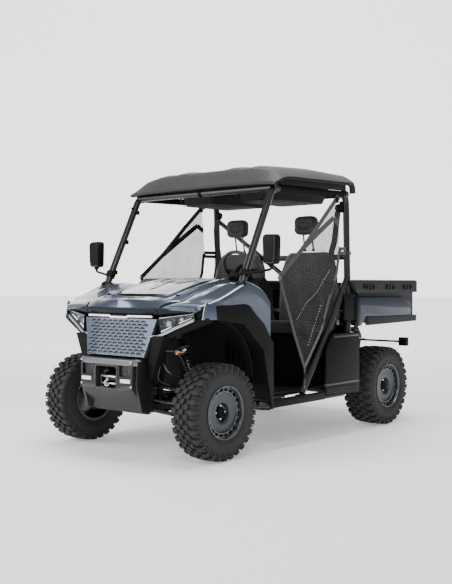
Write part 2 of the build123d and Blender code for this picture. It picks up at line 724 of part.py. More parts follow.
with BuildPart() as tie_rods:
    with BuildSketch(side_plane(8 - kingpin_x)):
        with Locations((-steering_arm_reach, rack_z)):
            RegularPolygon(tie_rod, 10)
    extrude(amount=2 * kingpin_x - 16)

# ---- Wheels ---------------------------------------------------------------------------------------------------
wheel_slots = 20
slot_ring = 132
hub_radius_out = 42
bead_share = 0.84
side_radius = 235
flange = 11
tread_rows = 3
tread_share = 0.96
block_share = 0.6
shoulder_drop = 5
casing_sides = 20
# Columns: name, side of the vehicle, track half, station, tyre width.
wheels = [
    ("front_left", 1, front_track_half, 0, front_tyre_width),
    ("front_right", -1, front_track_half, 0, front_tyre_width),
    ("rear_left", 1, rear_track_half, wheelbase, rear_tyre_width),
    ("rear_right", -1, rear_track_half, wheelbase, rear_tyre_width),
]


def ring(centre, out, radius, start, end, sides=casing_sides, mode=Mode.ADD):
    """A many-sided disc in the open part, between two distances outwards along the axle."""
    with BuildSketch(Plane(origin=centre, x_dir=(0, 1, 0), z_dir=(out, 0, 0)).offset(start)) as section:
        RegularPolygon(radius, sides)
    extrude(section.sketch, amount=end - start, mode=mode)


def tread_row(centre, out, tip, root, start, end, half_pitch):
    """One row of tread blocks in the open part, between two distances outwards along the axle."""
    pitch = 2 * pi / tread_pitches
    points = []
    for count in range(tread_pitches):
        middle = (count + (0.5 if half_pitch else 0)) * pitch - pi / 2
        for turn, radius in ((-1, root), (-1, tip), (1, tip), (1, root)):
            angle = middle + turn * block_share * pitch / 2
            points.append((radius * cos(angle), radius * sin(angle)))
    with BuildSketch(Plane(origin=centre, x_dir=(0, 1, 0), z_dir=(out, 0, 0)).offset(start)) as row:
        outline(points)
        RegularPolygon(side_radius + 5, casing_sides, mode=Mode.SUBTRACT)
    extrude(row.sketch, amount=end - start)


tyres = {}
rims = {}
for name, out, track, station, width in wheels:
    centre = at(out * track, station, tyre_radius)
    half = width / 2
    bead = half * bead_share
    root = tyre_radius - tread_depth
    # A block's edges stand this far out, so that the middle of its flat top is at the tyre's radius.
    tip = tyre_radius / cos(block_share * pi / tread_pitches)
    with BuildPart() as tyre:
        for offset, radius in ((-bead, rim_flange_radius + 2), (-half * 0.98, side_radius), (-half * 0.9, root - 12),
                               (half * 0.9, root - 12), (half * 0.98, side_radius), (bead, rim_flange_radius + 2)):
            with BuildSketch(Plane(origin=centre, x_dir=(0, 1, 0), z_dir=(out, 0, 0)).offset(offset)):
                RegularPolygon(radius, casing_sides)
        straight_loft()
        row_width = 2 * half * tread_share / tread_rows
        for row in range(tread_rows):
            start = row * row_width - half * tread_share
            drop = shoulder_drop if row in (0, tread_rows - 1) else 0
            tread_row(centre, out, tip - drop, root - drop, start, start + row_width, row % 2 == 1)
        ring(centre, out, rim_seat_radius, -half, half, mode=Mode.SUBTRACT)
    tyres["tyre_" + name] = tyre
    with BuildPart() as rim:
        ring(centre, out, rim_seat_radius - 1, -bead - flange, bead + flange)
        ring(centre, out, rim_flange_radius, -bead - flange, -bead - 1)
        ring(centre, out, rim_flange_radius, bead + 1, bead + flange)
        ring(centre, out, rim_seat_radius - 1 - rim_wall, -bead - flange, wheel_disc - disc_depth, mode=Mode.SUBTRACT)
        ring(centre, out, rim_seat_radius - 1 - rim_wall, wheel_disc, bead + flange, mode=Mode.SUBTRACT)
        ring(centre, out, hub_radius_out, wheel_disc - 1, wheel_disc + 20, 8)
        with BuildSketch(Plane(origin=centre, x_dir=(0, 1, 0), z_dir=(out, 0, 0)).offset(wheel_disc - 30)):
            with PolarLocations(slot_ring, wheel_slots):
                Rectangle(18, 22)
        extrude(amount=60, mode=Mode.SUBTRACT)
    rims["rim_" + name] = rim

# ---- Cargo bed ---------------------------------------------------------------------------------------------------
bed_foot = bed_floor_z - 40
bed_lug_x = 150
rail_lip = 1050
rail_out = bed_half_width + 15
pocket = (44, 34, 14)
pocket_z = 1103
pocket_pitch = 60
wall_out = bed_half_width - 20
with BuildPart() as bed:
    block((-wall_out, wall_out), (bed_front, bed_rear), (bed_floor_z - 22, bed_floor_z))
    block((-wall_out, wall_out), (bed_front, bed_front + bed_wall), (bed_floor_z, bed_rail_z - 16))
    # Side walls with the rolled rail along their tops, and the black rail below them.
    plate([(bed_front, bed_floor_z - 22), (bed_rear, bed_floor_z - 22), (bed_rear, rail_lip + 10),
           (bed_front, rail_lip + 10)], wall_out - bed_wall, wall_out)
    plate([(bed_front - 60, rail_lip + 2), (bed_rear + 10, rail_lip), (bed_rear + 10, bed_rail_z - 8),
           (bed_rear, bed_rail_z), (bed_front - 110, bed_rail_z), (bed_front - 120, bed_rail_z - 8)],
          wall_out + 2, rail_out)
    plate([(bed_front, rail_lip), (bed_rear, rail_lip), (bed_rear, bed_rail_z), (bed_front, bed_rail_z)],
          wall_out - 50, wall_out + 2)
    plate([(bed_front + 122, bed_foot), (bed_rear + 20, bed_foot + 12), (bed_rear + 20, bed_floor_z + 22),
           (bed_front + 102, bed_floor_z + 22)], bed_half_width - 30, bed_half_width + 4)
    # Pairs of stake pockets in the outer face of the rail.
    for station in (bed_front + 70, bed_front + 406, bed_front + 701):
        for shift in (-pocket_pitch / 2, pocket_pitch / 2):
            block((rail_out - pocket[2], rail_out + 1),
                  (station + shift - pocket[0] / 2, station + shift + pocket[0] / 2),
                  (pocket_z - pocket[1] / 2, pocket_z + pocket[1] / 2), Mode.SUBTRACT)
    # Hinge lugs under the floor.
    plate([(bed_hinge_station - 60, bed_floor_z - 22), (bed_hinge_station - 26, bed_hinge_z - 22),
           (bed_hinge_station + 26, bed_hinge_z - 22), (bed_hinge_station + 50, bed_floor_z - 22)],
          bed_lug_x, bed_lug_x + 14)
    with BuildSketch(side_plane(bed_lug_x - 1)):
        with Locations((bed_hinge_station, bed_hinge_z)):
            RegularPolygon(bed_hinge_radius + running_gap + 1, 12)
    extrude(amount=20, mode=Mode.SUBTRACT)
    other_side()

with BuildPart() as bed_hinge:
    with BuildSketch(side_plane(-bed_lug_x - 40)):
        with Locations((bed_hinge_station, bed_hinge_z)):
            Circle(bed_hinge_radius)
    extrude(amount=2 * bed_lug_x + 80)
    for x in (-bed_lug_x - 40, bed_lug_x + 26):
        block((x, x + 14), (bed_hinge_station - 22, bed_hinge_station + 22), (subframe_top, bed_hinge_z))
    block((-bed_lug_x - 40, bed_lug_x + 40), (bed_hinge_station - 30, bed_hinge_station + 10),
          (subframe_top + 1, subframe_top + 7))

panel_front = bed_front - 38
with BuildPart() as bed_side_panels:
    plate([(panel_front, 1017), (bed_rear - 190, 1012), (bed_rear - 62, 957), (bed_rear - 62, 864),
           (bed_front + 261, 864), (bed_front + 122, 868), (bed_front + 85, 870), (bed_front + 22, 800),
           (panel_front, 797)], bed_half_width - 16, bed_half_width)
    other_side()

gate_hinge_z = bed_floor_z + 12
gate_half = bed_half_width - 75
gate_gap = 6
gate_top = 1120
gate_roll = (tailgate_thickness - gate_gap) / 2
gate_pivot = bed_rear + gate_gap + gate_roll
with BuildPart() as tailgate:
    plate([(bed_rear + gate_gap, gate_hinge_z), (bed_rear + tailgate_thickness, gate_hinge_z),
           (bed_rear + tailgate_thickness, gate_top), (bed_rear + gate_gap, gate_top)], -gate_half, gate_half)
    # The lower edge is rolled round the hinge line.
    with BuildSketch(side_plane(-gate_half)):
        with Locations((gate_pivot, gate_hinge_z)):
            Circle(gate_roll)
    extrude(amount=2 * gate_half)

nodes = {
    "main_frame": main_frame, "skid_plate": skid_plate, "floor_pan": floor_pan, "seat_base": seat_base,
    "cage": cage, "roof": roof, "roof_liner": roof_liner, "hood": hood, "fenders": fenders, "flares": flares,
    "headlights": headlights, "grille": grille, "light_bar": light_bar, "fascia": fascia, "bumper": bumper,
    "marker_lamps": marker_lamps, "winch": winch, "dash": dash, "steering_column": steering_column,
    "steering_wheel": steering_wheel, "seat_cushions": seat_cushions, "seat_backs": seat_backs,
    "headrests": headrests, "firewall": firewall, "mirrors": mirrors, "side_panels": side_panels,
    "engine": engine, "driveline": driveline, "muffler": muffler, "hitch": hitch, "taillights": taillights,
    "front_arms": front_arms, "knuckle_left": knuckle_left, "knuckle_right": knuckle_right,
    "front_shocks": front_shocks, "rear_arms": rear_arms, "rear_carriers": rear_carriers,
    "rear_shocks": rear_shocks, "steering_rack": steering_rack, "tie_rods": tie_rods, "bed": bed,
    "bed_hinge": bed_hinge, "bed_side_panels": bed_side_panels, "tailgate": tailgate,
    **nets, **tyres, **rims,
}
for name, node in nodes.items():
    node.part.label = name
    export_step(node.part, f"parts/{name}.step")
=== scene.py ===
from math import atan2, cos, exp, floor, hypot, pi, radians, sin

import bmesh
import bpy
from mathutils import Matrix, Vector


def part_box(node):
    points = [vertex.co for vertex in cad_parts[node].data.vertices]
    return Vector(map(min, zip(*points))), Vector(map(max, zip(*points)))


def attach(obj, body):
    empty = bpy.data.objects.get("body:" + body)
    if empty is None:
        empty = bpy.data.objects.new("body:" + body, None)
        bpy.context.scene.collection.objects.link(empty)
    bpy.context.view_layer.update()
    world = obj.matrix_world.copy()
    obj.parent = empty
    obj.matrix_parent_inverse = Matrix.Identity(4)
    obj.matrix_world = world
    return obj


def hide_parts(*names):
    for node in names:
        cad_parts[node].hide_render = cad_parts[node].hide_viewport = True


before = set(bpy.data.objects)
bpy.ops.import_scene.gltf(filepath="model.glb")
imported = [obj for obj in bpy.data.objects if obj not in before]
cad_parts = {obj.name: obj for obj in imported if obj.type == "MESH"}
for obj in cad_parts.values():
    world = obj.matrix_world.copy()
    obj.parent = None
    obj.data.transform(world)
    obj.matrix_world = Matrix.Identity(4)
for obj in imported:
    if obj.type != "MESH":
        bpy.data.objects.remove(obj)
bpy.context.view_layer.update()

bl_info = {
    "name": "Side by Side Utility Vehicle",
    "version": (1, 0, 0),
    "blender": (4, 5, 0),
    "location": "3D View > Sidebar > Side by Side",
    "description": "Dresses a two-seat side by side utility vehicle and sets its studio",
    "category": "Add Mesh",
}

MM = 0.001
BOX = {node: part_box(node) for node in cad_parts}
FRONT_AXLE_Y = (BOX["rim_front_left"][0][1] + BOX["rim_front_left"][1][1]) / 2
REAR_AXLE = ((BOX["rim_rear_left"][0][1] + BOX["rim_rear_left"][1][1]) / 2 - FRONT_AXLE_Y) / MM
TYRE_RADIUS = 311
SIDES = ((1, "left"), (-1, "right"))


# Settings
def colour(name, description, default):
    return bpy.props.FloatVectorProperty(name=name, description=description, default=default, min=0, max=1, size=3,
        subtype="COLOR")


def number(name, description, default, low, high):
    return bpy.props.IntProperty(name=name, description=description, default=default, min=low, max=high)


def length(name, description, default, low, high):
    return bpy.props.FloatProperty(name=name, description=description, default=default, min=low, max=high,
        unit="LENGTH")


class SideBySidePaint(bpy.types.PropertyGroup):
    """Colours of the vehicle"""

    body: colour("Body paint", "Metallic colour of the hood, fenders, grille and bed panels", (0.078, 0.102, 0.152))
    plastic: colour("Black plastic", "Moulded flares, cheeks and side panels", (0.0042, 0.0043, 0.0047))
    roof: colour("Roof plastic", "Textured roof and its pods", (0.048, 0.049, 0.051))
    cage: colour("Cage paint", "Satin paint of the tube cage and the frame", (0.014, 0.0144, 0.0155))
    seat: colour("Seat cover", "Woven vinyl of the seats", (0.062, 0.066, 0.062))
    rim: colour("Rim", "Gunmetal of the wheels", (0.038, 0.042, 0.05))


class SideBySideSizes(bpy.types.PropertyGroup):
    """Sizes of the repeated details"""

    tread_pitches: number("Tread pitches", "Blocks in each row round a tyre", 30, 12, 40)
    tread_height: length("Tread height", "Height of the tread blocks", 0.014, 0.004, 0.02)
    rim_slots: number("Rim slots", "Slots round a wheel's disc", 20, 8, 36)
    grille_rows: number("Grille rows", "Rows of scales up the grille", 11, 4, 20)
    grille_columns: number("Grille columns", "Scales across each row", 10, 4, 20)
    spring_turns: number("Spring turns", "Turns of each coil spring", 8, 3, 14)
    cushion_swell: length("Cushion swell", "Most that a seat's filling pushes its cover out", 0.012, 0, 0.03)


# Shader nodes
class Shade:
    """A socket of a node tree, with the usual sums on values."""

    def __init__(self, tree, socket):
        self.tree = tree
        self.socket = socket

    def math(self, operation, *values):
        node = self.tree.nodes.new("ShaderNodeMath")
        node.operation = operation
        for spot, value in zip(node.inputs, values):
            if isinstance(value, Shade):
                self.tree.links.new(value.socket, spot)
            else:
                spot.default_value = value
        return Shade(self.tree, node.outputs[0])

    def __add__(self, other): return self.math("ADD", self, other)
    def __radd__(self, other): return self.math("ADD", other, self)
    def __sub__(self, other): return self.math("SUBTRACT", self, other)
    def __rsub__(self, other): return self.math("SUBTRACT", other, self)
    def __mul__(self, other): return self.math("MULTIPLY", self, other)
    def __rmul__(self, other): return self.math("MULTIPLY", other, self)
    def sine(self): return self.math("SINE", self)
    def size(self): return self.math("ABSOLUTE", self)
    def power(self, other): return self.math("POWER", self, other)

    def held(self):
        """The value kept between 0 and 1."""
        clamped = self + 0.0
        clamped.socket.node.use_clamp = True
        return clamped


class Nodes:
    """A node tree under construction."""

    def __init__(self, tree):
        self.tree = tree

    def node(self, kind, settings=None, **values):
        """Adds a node of that type, with its settings first and then the values or links of its sockets."""
        made = self.tree.nodes.new(kind)
        for key, value in (settings or {}).items():
            if key == "stops":
                ramp = made.color_ramp.elements
                for element, (place, level) in ((ramp[0], value[0]), (ramp[1], value[-1])):
                    element.position, element.color = place, (level, level, level, 1)
                for place, level in value[1:-1]:
                    ramp.new(place).color = (level, level, level, 1)
            else:
                setattr(made, key, value)
        for key, value in values.items():
            self.join(made.inputs[int(key[1:]) if key[1:].isdigit() else key.replace("_", " ")], value)
        return made

    def join(self, spot, value):
        if isinstance(value, (Shade, bpy.types.NodeSocket)):
            self.tree.links.new(getattr(value, "socket", value), spot)
        else:
            spot.default_value = value


class Finish(Nodes):
    """A procedural material under construction."""

    def __init__(self, name):
        self.material = bpy.data.materials.new(name)
        self.material.use_nodes = True
        super().__init__(self.material.node_tree)
        self.shader = self.tree.nodes["Principled BSDF"]
        self.coordinates = self.node("ShaderNodeTexCoord").outputs["Object"]

    def stretched(self, scale):
        """Object coordinates scaled for a pattern."""
        return self.node("ShaderNodeMapping", None, Vector=self.coordinates, Scale=scale).outputs[0]

    def noise(self, scale, detail=4.0, rough=0.55, vector=None):
        made = self.node("ShaderNodeTexNoise", None, Vector=vector or self.coordinates, Scale=scale, Detail=detail,
            Roughness=rough)
        return Shade(self.tree, made.outputs[0])

    def cells(self, scale):
        made = self.node("ShaderNodeTexVoronoi", None, Vector=self.coordinates, Scale=scale)
        return Shade(self.tree, made.outputs["Distance"])

    def axes(self):
        """The three object coordinates as values."""
        made = self.node("ShaderNodeSeparateXYZ", None, Vector=self.coordinates)
        return [Shade(self.tree, made.outputs[index]) for index in range(3)]

    def mixed(self, share, first, second):
        """A colour between two, by a value."""
        made = self.node("ShaderNodeMix", {"data_type": "RGBA"}, Factor=share)
        for label, shade in (("A", first), ("B", second)):
            spot = [item for item in made.inputs if item.name == label and item.type == "RGBA"][0]
            spot.default_value = (*shade[:3], 1)
        return [item for item in made.outputs if item.type == "RGBA"][0]

    def bump(self, height, distance=0.001, strength=0.5):
        return self.node("ShaderNodeBump", None, Strength=strength, Distance=distance, Height=height).outputs[
            "Normal"]

    def done(self, **values):
        """Sets the surface shader's sockets and gives the material."""
        for key, value in values.items():
            self.join(self.shader.inputs[key.replace("_", " ")], value)
        return self.material


def tint(shade, amount):
    """A colour made lighter or darker."""
    return tuple(max(0.0, min(1.0, part * amount)) for part in shade)


FINISH = {}


def make_finishes(paint):
    """Every material of the vehicle, by name."""
    # The second copy is the same paint at half the brightness and half the coat: painted shade, used on the bed's
    # side panels.
    for key, name, level in (("body", "body_paint", 1.0), ("low", "lower_body_paint", 0.5)):
        body = Finish(name)
        cloud = body.noise(2.5, 3)
        flake = body.cells(2600)
        FINISH[key] = body.done(Base_Color=body.mixed(cloud * 0.5 + flake * 0.5, tint(paint.body, 0.86 * level),
            tint(paint.body, 1.16 * level)), Metallic=0.72, Roughness=0.25 + flake * 0.12, Coat_Weight=0.9 * level,
            Coat_Roughness=0.06, Normal=body.bump(body.noise(420, 2), 0.0003, 0.08))

    grille = Finish("grille_paint")
    FINISH["grille"] = grille.done(
        Base_Color=grille.mixed(grille.noise(60, 4), tint(paint.body, 0.72), tint(paint.body, 1.0)),
        Metallic=0.55, Roughness=0.34 + grille.noise(300, 2) * 0.1, Coat_Weight=0.35,
        Normal=grille.bump(grille.noise(700, 2), 0.0003, 0.12))

    def moulded(name, shade, rough, grain, depth, wear=1.5, shine=0.12):
        finish = Finish(name)
        patch = finish.noise(7, 5, 0.6)
        cells = finish.cells(grain)
        height = cells + finish.noise(grain * 2.2, 3) * 0.6
        return finish.done(
            Base_Color=finish.mixed((patch * 0.6 + cells * 0.5).held(), tint(shade, 0.8), tint(shade, wear)),
            Roughness=(rough - 0.08 + patch * 0.16).held(), Specular_IOR_Level=shine,
            Normal=finish.bump(height, depth, 0.4))

    # Columns: key, name, colour, roughness, grain, depth of the grain, wear, shine.
    for key, *values in (
            ("plastic", "black_plastic", paint.plastic, 0.46, 620, 0.0005, 1.7),
            ("rough_plastic", "rough_black_plastic", tint(paint.plastic, 1.15), 0.62, 300, 0.0012, 1.7),
            ("roof", "roof_plastic", paint.roof, 0.5, 420, 0.0008, 1.3),
            ("pod", "roof_pod", tint(paint.roof, 0.32), 0.6, 420, 0.0006),
            ("dark", "inner_black", (0.004, 0.004, 0.0045), 0.7, 420, 0.0005, 1.5, 0.1),
            ("bed", "bed_plastic", (0.03, 0.031, 0.034), 0.5, 480, 0.0008, 1.35),
            ("lip", "dark_lip", (0.014, 0.017, 0.024), 0.38, 620, 0.0003, 1.3),
            ("floor", "floor_mat", (0.02, 0.02, 0.021), 0.7, 160, 0.0012),
            ("thread", "pale_thread", (0.42, 0.42, 0.4), 0.7, 900, 0.0004, 1.2)):
        FINISH[key] = moulded(*values)

    def coated(name, shade, rough, metal=0.35, coat=0.3):
        finish = Finish(name)
        patch = finish.noise(9, 4)
        peel = finish.noise(520, 2)
        return finish.done(
            Base_Color=finish.mixed(patch, tint(shade, 0.85), tint(shade, 1.25)), Metallic=metal,
            Roughness=(rough - 0.05 + patch * 0.1).held(), Coat_Weight=coat, Coat_Roughness=0.2,
            Normal=finish.bump(peel, 0.0004, 0.2))

    # Columns: key, name, colour, roughness, metallic, coat.
    for key, *values in (("cage", "cage_paint", paint.cage, 0.36), ("frame", "frame_paint", tint(paint.cage, 0.55),
            0.45), ("rim", "rim_gunmetal", paint.rim, 0.33, 0.75, 0.4), ("rim_edge", "rim_edge", (0.22, 0.24, 0.28),
            0.28, 0.9, 0.2), ("bumper", "bumper_paint", (0.007, 0.0075, 0.0085), 0.46, 0.2, 0.1),
            ("skid", "skid_grey", (0.034, 0.036, 0.04), 0.42, 0.4)):
        FINISH[key] = coated(*values)

    def metal(name, shade, rough, stretch=(40, 900, 900)):
        finish = Finish(name)
        lines = finish.noise(1.0, 3, 0.6, finish.stretched(stretch))
        return finish.done(
            Base_Color=finish.mixed(lines, tint(shade, 0.8), tint(shade, 1.1)), Metallic=1.0,
            Roughness=(rough - 0.07 + lines * 0.16).held(), Normal=finish.bump(lines, 0.0002, 0.2))

    # Columns: key, name, colour, roughness, scale of the brushing along each axis.
    for key, *values in (("silver", "brushed_silver", (0.62, 0.63, 0.65), 0.3),
            ("chrome", "chrome", (0.86, 0.87, 0.89), 0.1, (8, 8, 8)), ("cast", "cast_aluminium", (0.3, 0.3, 0.31),
            0.48, (300, 300, 300)), ("copper", "copper_fitting", (0.85, 0.5, 0.25), 0.28, (200, 200, 200)),
            ("steel", "steel", (0.2, 0.205, 0.215), 0.36, (120, 500, 500)), ("glass_mirror", "mirror_glass",
            (0.72, 0.75, 0.78), 0.05, (3, 3, 3))):
        FINISH[key] = metal(*values)

    rubber = Finish("tyre_rubber")
    dust = rubber.noise(28, 5, 0.65)
    FINISH["rubber"] = rubber.done(
        Base_Color=rubber.mixed(dust, (0.011, 0.011, 0.012), (0.032, 0.032, 0.033)),
        Roughness=(0.56 + dust * 0.18).held(), Specular_IOR_Level=0.35,
        Normal=rubber.bump(rubber.noise(900, 3) + rubber.cells(500) * 0.4, 0.0004, 0.35))

    hose = Finish("hose_rubber")
    FINISH["hose"] = hose.done(
        Base_Color=hose.mixed(hose.noise(60, 3), (0.02, 0.02, 0.021), (0.06, 0.06, 0.062)), Roughness=0.5,
        Normal=hose.bump(hose.noise(800, 2), 0.0004, 0.3))

    seat = Finish("seat_cover")
    x, y, z = seat.axes()
    weave = ((x * 1500).sine() * (z * 1500 + y * 1500).sine()) * 0.5 + 0.5
    patch = seat.noise(14, 4)
    # The cover is lighter higher up and darker low down: painted light and shade, over random patches and the weave.
    FINISH["seat"] = seat.done(Base_Color=seat.mixed((patch * 0.3 + weave * 0.15 + (z - 1.1) * 2.4).held(),
        tint(paint.seat, 0.45), tint(paint.seat, 1.35)), Roughness=(0.6 + patch * 0.15).held(), Sheen_Weight=0.25,
        Sheen_Roughness=0.5, Normal=seat.bump(weave + seat.noise(500, 3) * 0.5, 0.0006, 0.35))
    side = Finish("seat_bolster")
    grain = side.cells(420)
    FINISH["bolster"] = side.done(
        Base_Color=side.mixed(side.noise(12, 4), tint(paint.seat, 0.36), tint(paint.seat, 0.6)),
        Roughness=(0.42 + grain * 0.3).held(), Sheen_Weight=0.15, Normal=side.bump(grain, 0.0006, 0.4))
    webbing = Finish("webbing")
    x, y, z = webbing.axes()
    rows = ((z * 2200 + y * 900).sine() * 0.5 + 0.5)
    FINISH["webbing"] = webbing.done(
        Base_Color=webbing.mixed(rows, (0.016, 0.016, 0.017), (0.05, 0.05, 0.052)), Roughness=0.7,
        Sheen_Weight=0.2, Normal=webbing.bump(rows, 0.0006, 0.5))

    net = Finish("net_mesh")
    x, y, z = net.axes()
    up = ((z * 0.8 + y * 0.6) * 1250).sine()
    along = ((z * 0.6 - y * 0.8) * 1250).sine()
    threads = (up.size().power(2.0) + along.size().power(2.0)) * 0.5
    folds = net.noise(9, 1, 0.5)
    FINISH["net"] = net.done(Base_Color=net.mixed((threads * 0.08 + folds * 0.9).held(), (0.006, 0.006, 0.006),
        (0.026, 0.026, 0.025)), Roughness=0.75, Sheen_Weight=0.1, Specular_IOR_Level=0.2,
        Alpha=(0.5 + threads * 0.08 + folds * 0.16 + ((1.25 - z) * 1.1).held() * 0.35).held(), Normal=net.bump(folds,
        0.004, 0.4))

    def lens(name, shade, alpha, rough=0.04):
        finish = Finish(name)
        ribs = (finish.axes()[0] * 1600).sine()
        return finish.done(
            Base_Color=finish.mixed(finish.noise(30, 2), tint(shade, 0.9), tint(shade, 1.05)), Roughness=rough,
            Alpha=alpha, Coat_Weight=1.0, Coat_Roughness=0.02, Normal=finish.bump(ribs, 0.0002, 0.1))

    FINISH["clear"] = lens("lamp_cover", (0.3, 0.32, 0.35), 0.07)
    FINISH["red"] = lens("red_lens", (0.45, 0.012, 0.015), 0.9)
    # Pale, mostly opaque projector lenses: a painted highlight.
    FINISH["projector_highlight"] = lens("projector_glass", (0.72, 0.76, 0.82), 0.75, 0.02)

    def lit(name, shade, strength):
        finish = Finish(name)
        spread = finish.noise(120, 2)
        return finish.done(
            Base_Color=finish.mixed(spread, tint(shade, 0.9), shade), Roughness=0.25,
            Emission_Color=finish.mixed(spread, tint(shade, 0.85), shade), Emission_Strength=strength,
            Coat_Weight=0.6)

    FINISH["light"] = lit("running_light", (0.97, 0.98, 1.0), 0.75)
    FINISH["marker"] = lit("marker_lamp", (0.93, 0.94, 0.95), 0.35)
    FINISH["screen"] = lens("instrument_glass", (0.02, 0.025, 0.03), 1.0, 0.08)


# Building meshes
def at(x, station, z):
    """A point in metres, from its distance to the left, its station behind the front axle and its height, in mm."""
    return Vector((x * MM, FRONT_AXLE_Y + station * MM, z * MM))


def marks(*places, side=1):
    return [at(side * x, station, z) for x, station, z in places]


def lengthwise(x, *spots, side=1):
    """Points at one distance from the middle, from their stations and heights."""
    return [at(side * x, station, z) for station, z in spots]


def crosswise(station, *spots, side=1):
    """Points at one station, from their distances to the left and heights."""
    return [at(side * x, station, z) for x, z in spots]


def barrel(half, radius, inner=0):
    """The profile of a cylinder, or of a ring, along its axle."""
    return [(-half, inner), (-half, radius), (half, radius), (half, inner)]


def in_rows(columns, step, rows=1, rise=(0, 0, 0), stagger=(0, 0, 0)):
    """Inputs for copies in rows, with their steps in mm."""
    column, row, shift = (tuple(part * MM for part in way) for way in (step, rise, stagger))
    return {"Columns": columns, "Column Step": column, "Rows": rows, "Row Step": row, "Stagger": shift}


class Form:
    """Faces gathered for one piece, in metres."""

    def __init__(self):
        self.points, self.faces, self.slots = [], [], []

    def add(self, points, faces, slot=0):
        base = len(self.points)
        self.points += [tuple(point) for point in points]
        self.faces += [[base + index for index in face] for face in faces]
        self.slots += [slot] * len(faces)
        return self

    def grid(self, rows, wrap=False, slot=0, caps=False):
        """A surface through rows of points; wrap joins each row's end to its start."""
        wide = len(rows[0])
        faces = []
        for down in range(len(rows) - 1):
            for across in range(wide if wrap else wide - 1):
                right = (across + 1) % wide
                faces.append([down * wide + across, down * wide + right, (down + 1) * wide + right, (down + 1) * wide
                    + across])
        if caps:
            faces.append(list(range(wide)))
            faces.append([(len(rows) - 1) * wide + index for index in reversed(range(wide))])
        return self.add([point for row in rows for point in row], faces, slot)

    def loft(self, rows, slot=0):
        """A closed solid through rings of points."""
        return self.grid(rows, True, slot, True)

    def stepped(self, place, outline, steps, slot=0):
        """Walls through an outline that is moved inwards, by steps of (inset, depth)."""
        rows = [[place(*point, depth) for point in inset_outline(outline, inset)] for inset, depth in steps]
        self.grid(rows, True, slot)
        return rows

    def prism(self, outline, depth, slot=0):
        """An outline pushed through a distance."""
        depth = Vector(depth)
        count = len(outline)
        points = [Vector(point) for point in outline]
        faces = [list(range(count)), [count + index for index in reversed(range(count))]]
        faces += [[index, (index + 1) % count, count + (index + 1) % count, count + index] for index in range(count)]
        return self.add(points + [point + depth for point in points], faces, slot)

    def block(self, x_range, stations, heights, slot=0):
        low = at(min(x_range), min(stations), min(heights))
        high = at(max(x_range), max(stations), max(heights))
        corners = [Vector((x, low.y, low.z)) for x in (low.x, high.x)]
        outline = [corners[0], corners[1], Vector((high.x, low.y, high.z)), Vector((low.x, low.y, high.z))]
        return self.prism(outline, (0, high.y - low.y, 0), slot)

    def tube(self, route, radius, sides=14, slot=0, closed=False):
        """A round bar through points; the radius in mm may be a list, one for each point."""
        points = [Vector(point) for point in route]
        kept = [points[0]]
        for point in points[1:]:
            if (point - kept[-1]).length > 1e-5:
                kept.append(point)
        points = kept
        count = len(points)
        radii = radius if isinstance(radius, (list, tuple)) else [radius] * count
        along = []
        for index in range(count):
            before = points[index - 1] if index or closed else points[index]
            after = points[(index + 1) % count] if index < count - 1 or closed else points[index]
            along.append((after - before).normalized())
        side = along[0].orthogonal().normalized()
        rows = []
        for index, point in enumerate(points):
            side = (side - along[index] * side.dot(along[index])).normalized()
            other = along[index].cross(side)
            rows.append([point + (side * cos(turn) + other * sin(turn)) * radii[min(index, len(radii) - 1)] * MM
                for turn in (2 * pi * step / sides for step in range(sides))])
        if closed:
            rows.append(rows[0])
        return self.grid(rows, True, slot, not closed)

    def lathe(self, profile, centre, out=(1, 0, 0), sides=48, slot=0, closed=False):
        """A turned form: the profile is (distance along, radius) pairs in mm about an axle."""
        axis = Vector(out).normalized()
        side = Vector((0, 0, 1)) if abs(axis.z) < 0.9 else Vector((0, 1, 0))
        side = (side - axis * side.dot(axis)).normalized()
        other = axis.cross(side)
        rows = []
        for along, radius in (profile + profile[:1] if closed else profile):
            rows.append([Vector(centre) + (axis * along + (side * cos(turn) + other * sin(turn)) * radius) * MM
                for turn in (2 * pi * step / sides for step in range(sides))])
        return self.grid(rows, True, slot)

    def strap(self, route, width, thick, across, slot=0):
        """A flat band through points, as wide in mm as given along a direction."""
        points = [Vector(point) for point in route]
        across = Vector(across).normalized()
        rows = []
        for index, point in enumerate(points):
            before, after = points[max(index - 1, 0)], points[min(index + 1, len(points) - 1)]
            run = (after - before).normalized()
            flat = (across - run * across.dot(run)).normalized() * width * MM / 2
            up = run.cross(flat).normalized() * thick * MM / 2
            rows.append([point + flat + up, point - flat + up, point - flat - up, point + flat - up])
        return self.grid(rows, True, slot, True)

    def mirrored(self):
        """Adds the form's own mirror image about the centreline."""
        points, faces, slots = list(self.points), list(self.faces), list(self.slots)
        base = len(points)
        self.points += [(-x, y, z) for x, y, z in points]
        self.faces += [[base + index for index in reversed(face)] for face in faces]
        self.slots += slots
        return self


def bent(route, bend, steps=7):
    """The route with a smooth bend at each corner."""
    points = [Vector(point) for point in route]
    result = [points[0]]
    for before, corner, after in zip(points, points[1:], points[2:]):
        back, ahead = before - corner, after - corner
        turn = (pi - back.angle(ahead)) / 2
        reach = min(bend * MM * sin(turn) / max(cos(turn), 0.05), 0.45 * back.length, 0.45 * ahead.length)
        start, end = corner + back.normalized() * reach, corner + ahead.normalized() * reach
        for step in range(steps + 1):
            share = step / steps
            result.append(start * (1 - share) ** 2 + corner * 2 * share * (1 - share) + end * share ** 2)
    return result + [points[-1]]


def fair(values, share):
    """A value on a smooth line through evenly numbered values, at a number along them."""
    low = min(max(int(floor(share)), 0), len(values) - 2)
    part = share - low
    before, start, end, after = (values[max(low - 1, 0)], values[low], values[low + 1],
        values[min(low + 2, len(values) - 1)])
    return 0.5 * (2 * start + (end - before) * part + (2 * before - 5 * start + 4 * end - after) * part ** 2
        + (3 * start - before - 3 * end + after) * part ** 3)


def faired(table, share):
    """Every column of a table, at a number along its rows."""
    return [fair(column, share) for column in zip(*table)]


def link(name, mesh, finishes):
    thing = bpy.data.objects.new(name, mesh)
    for finish in finishes:
        mesh.materials.append(FINISH[finish])
    bpy.context.scene.collection.objects.link(thing)
    return thing


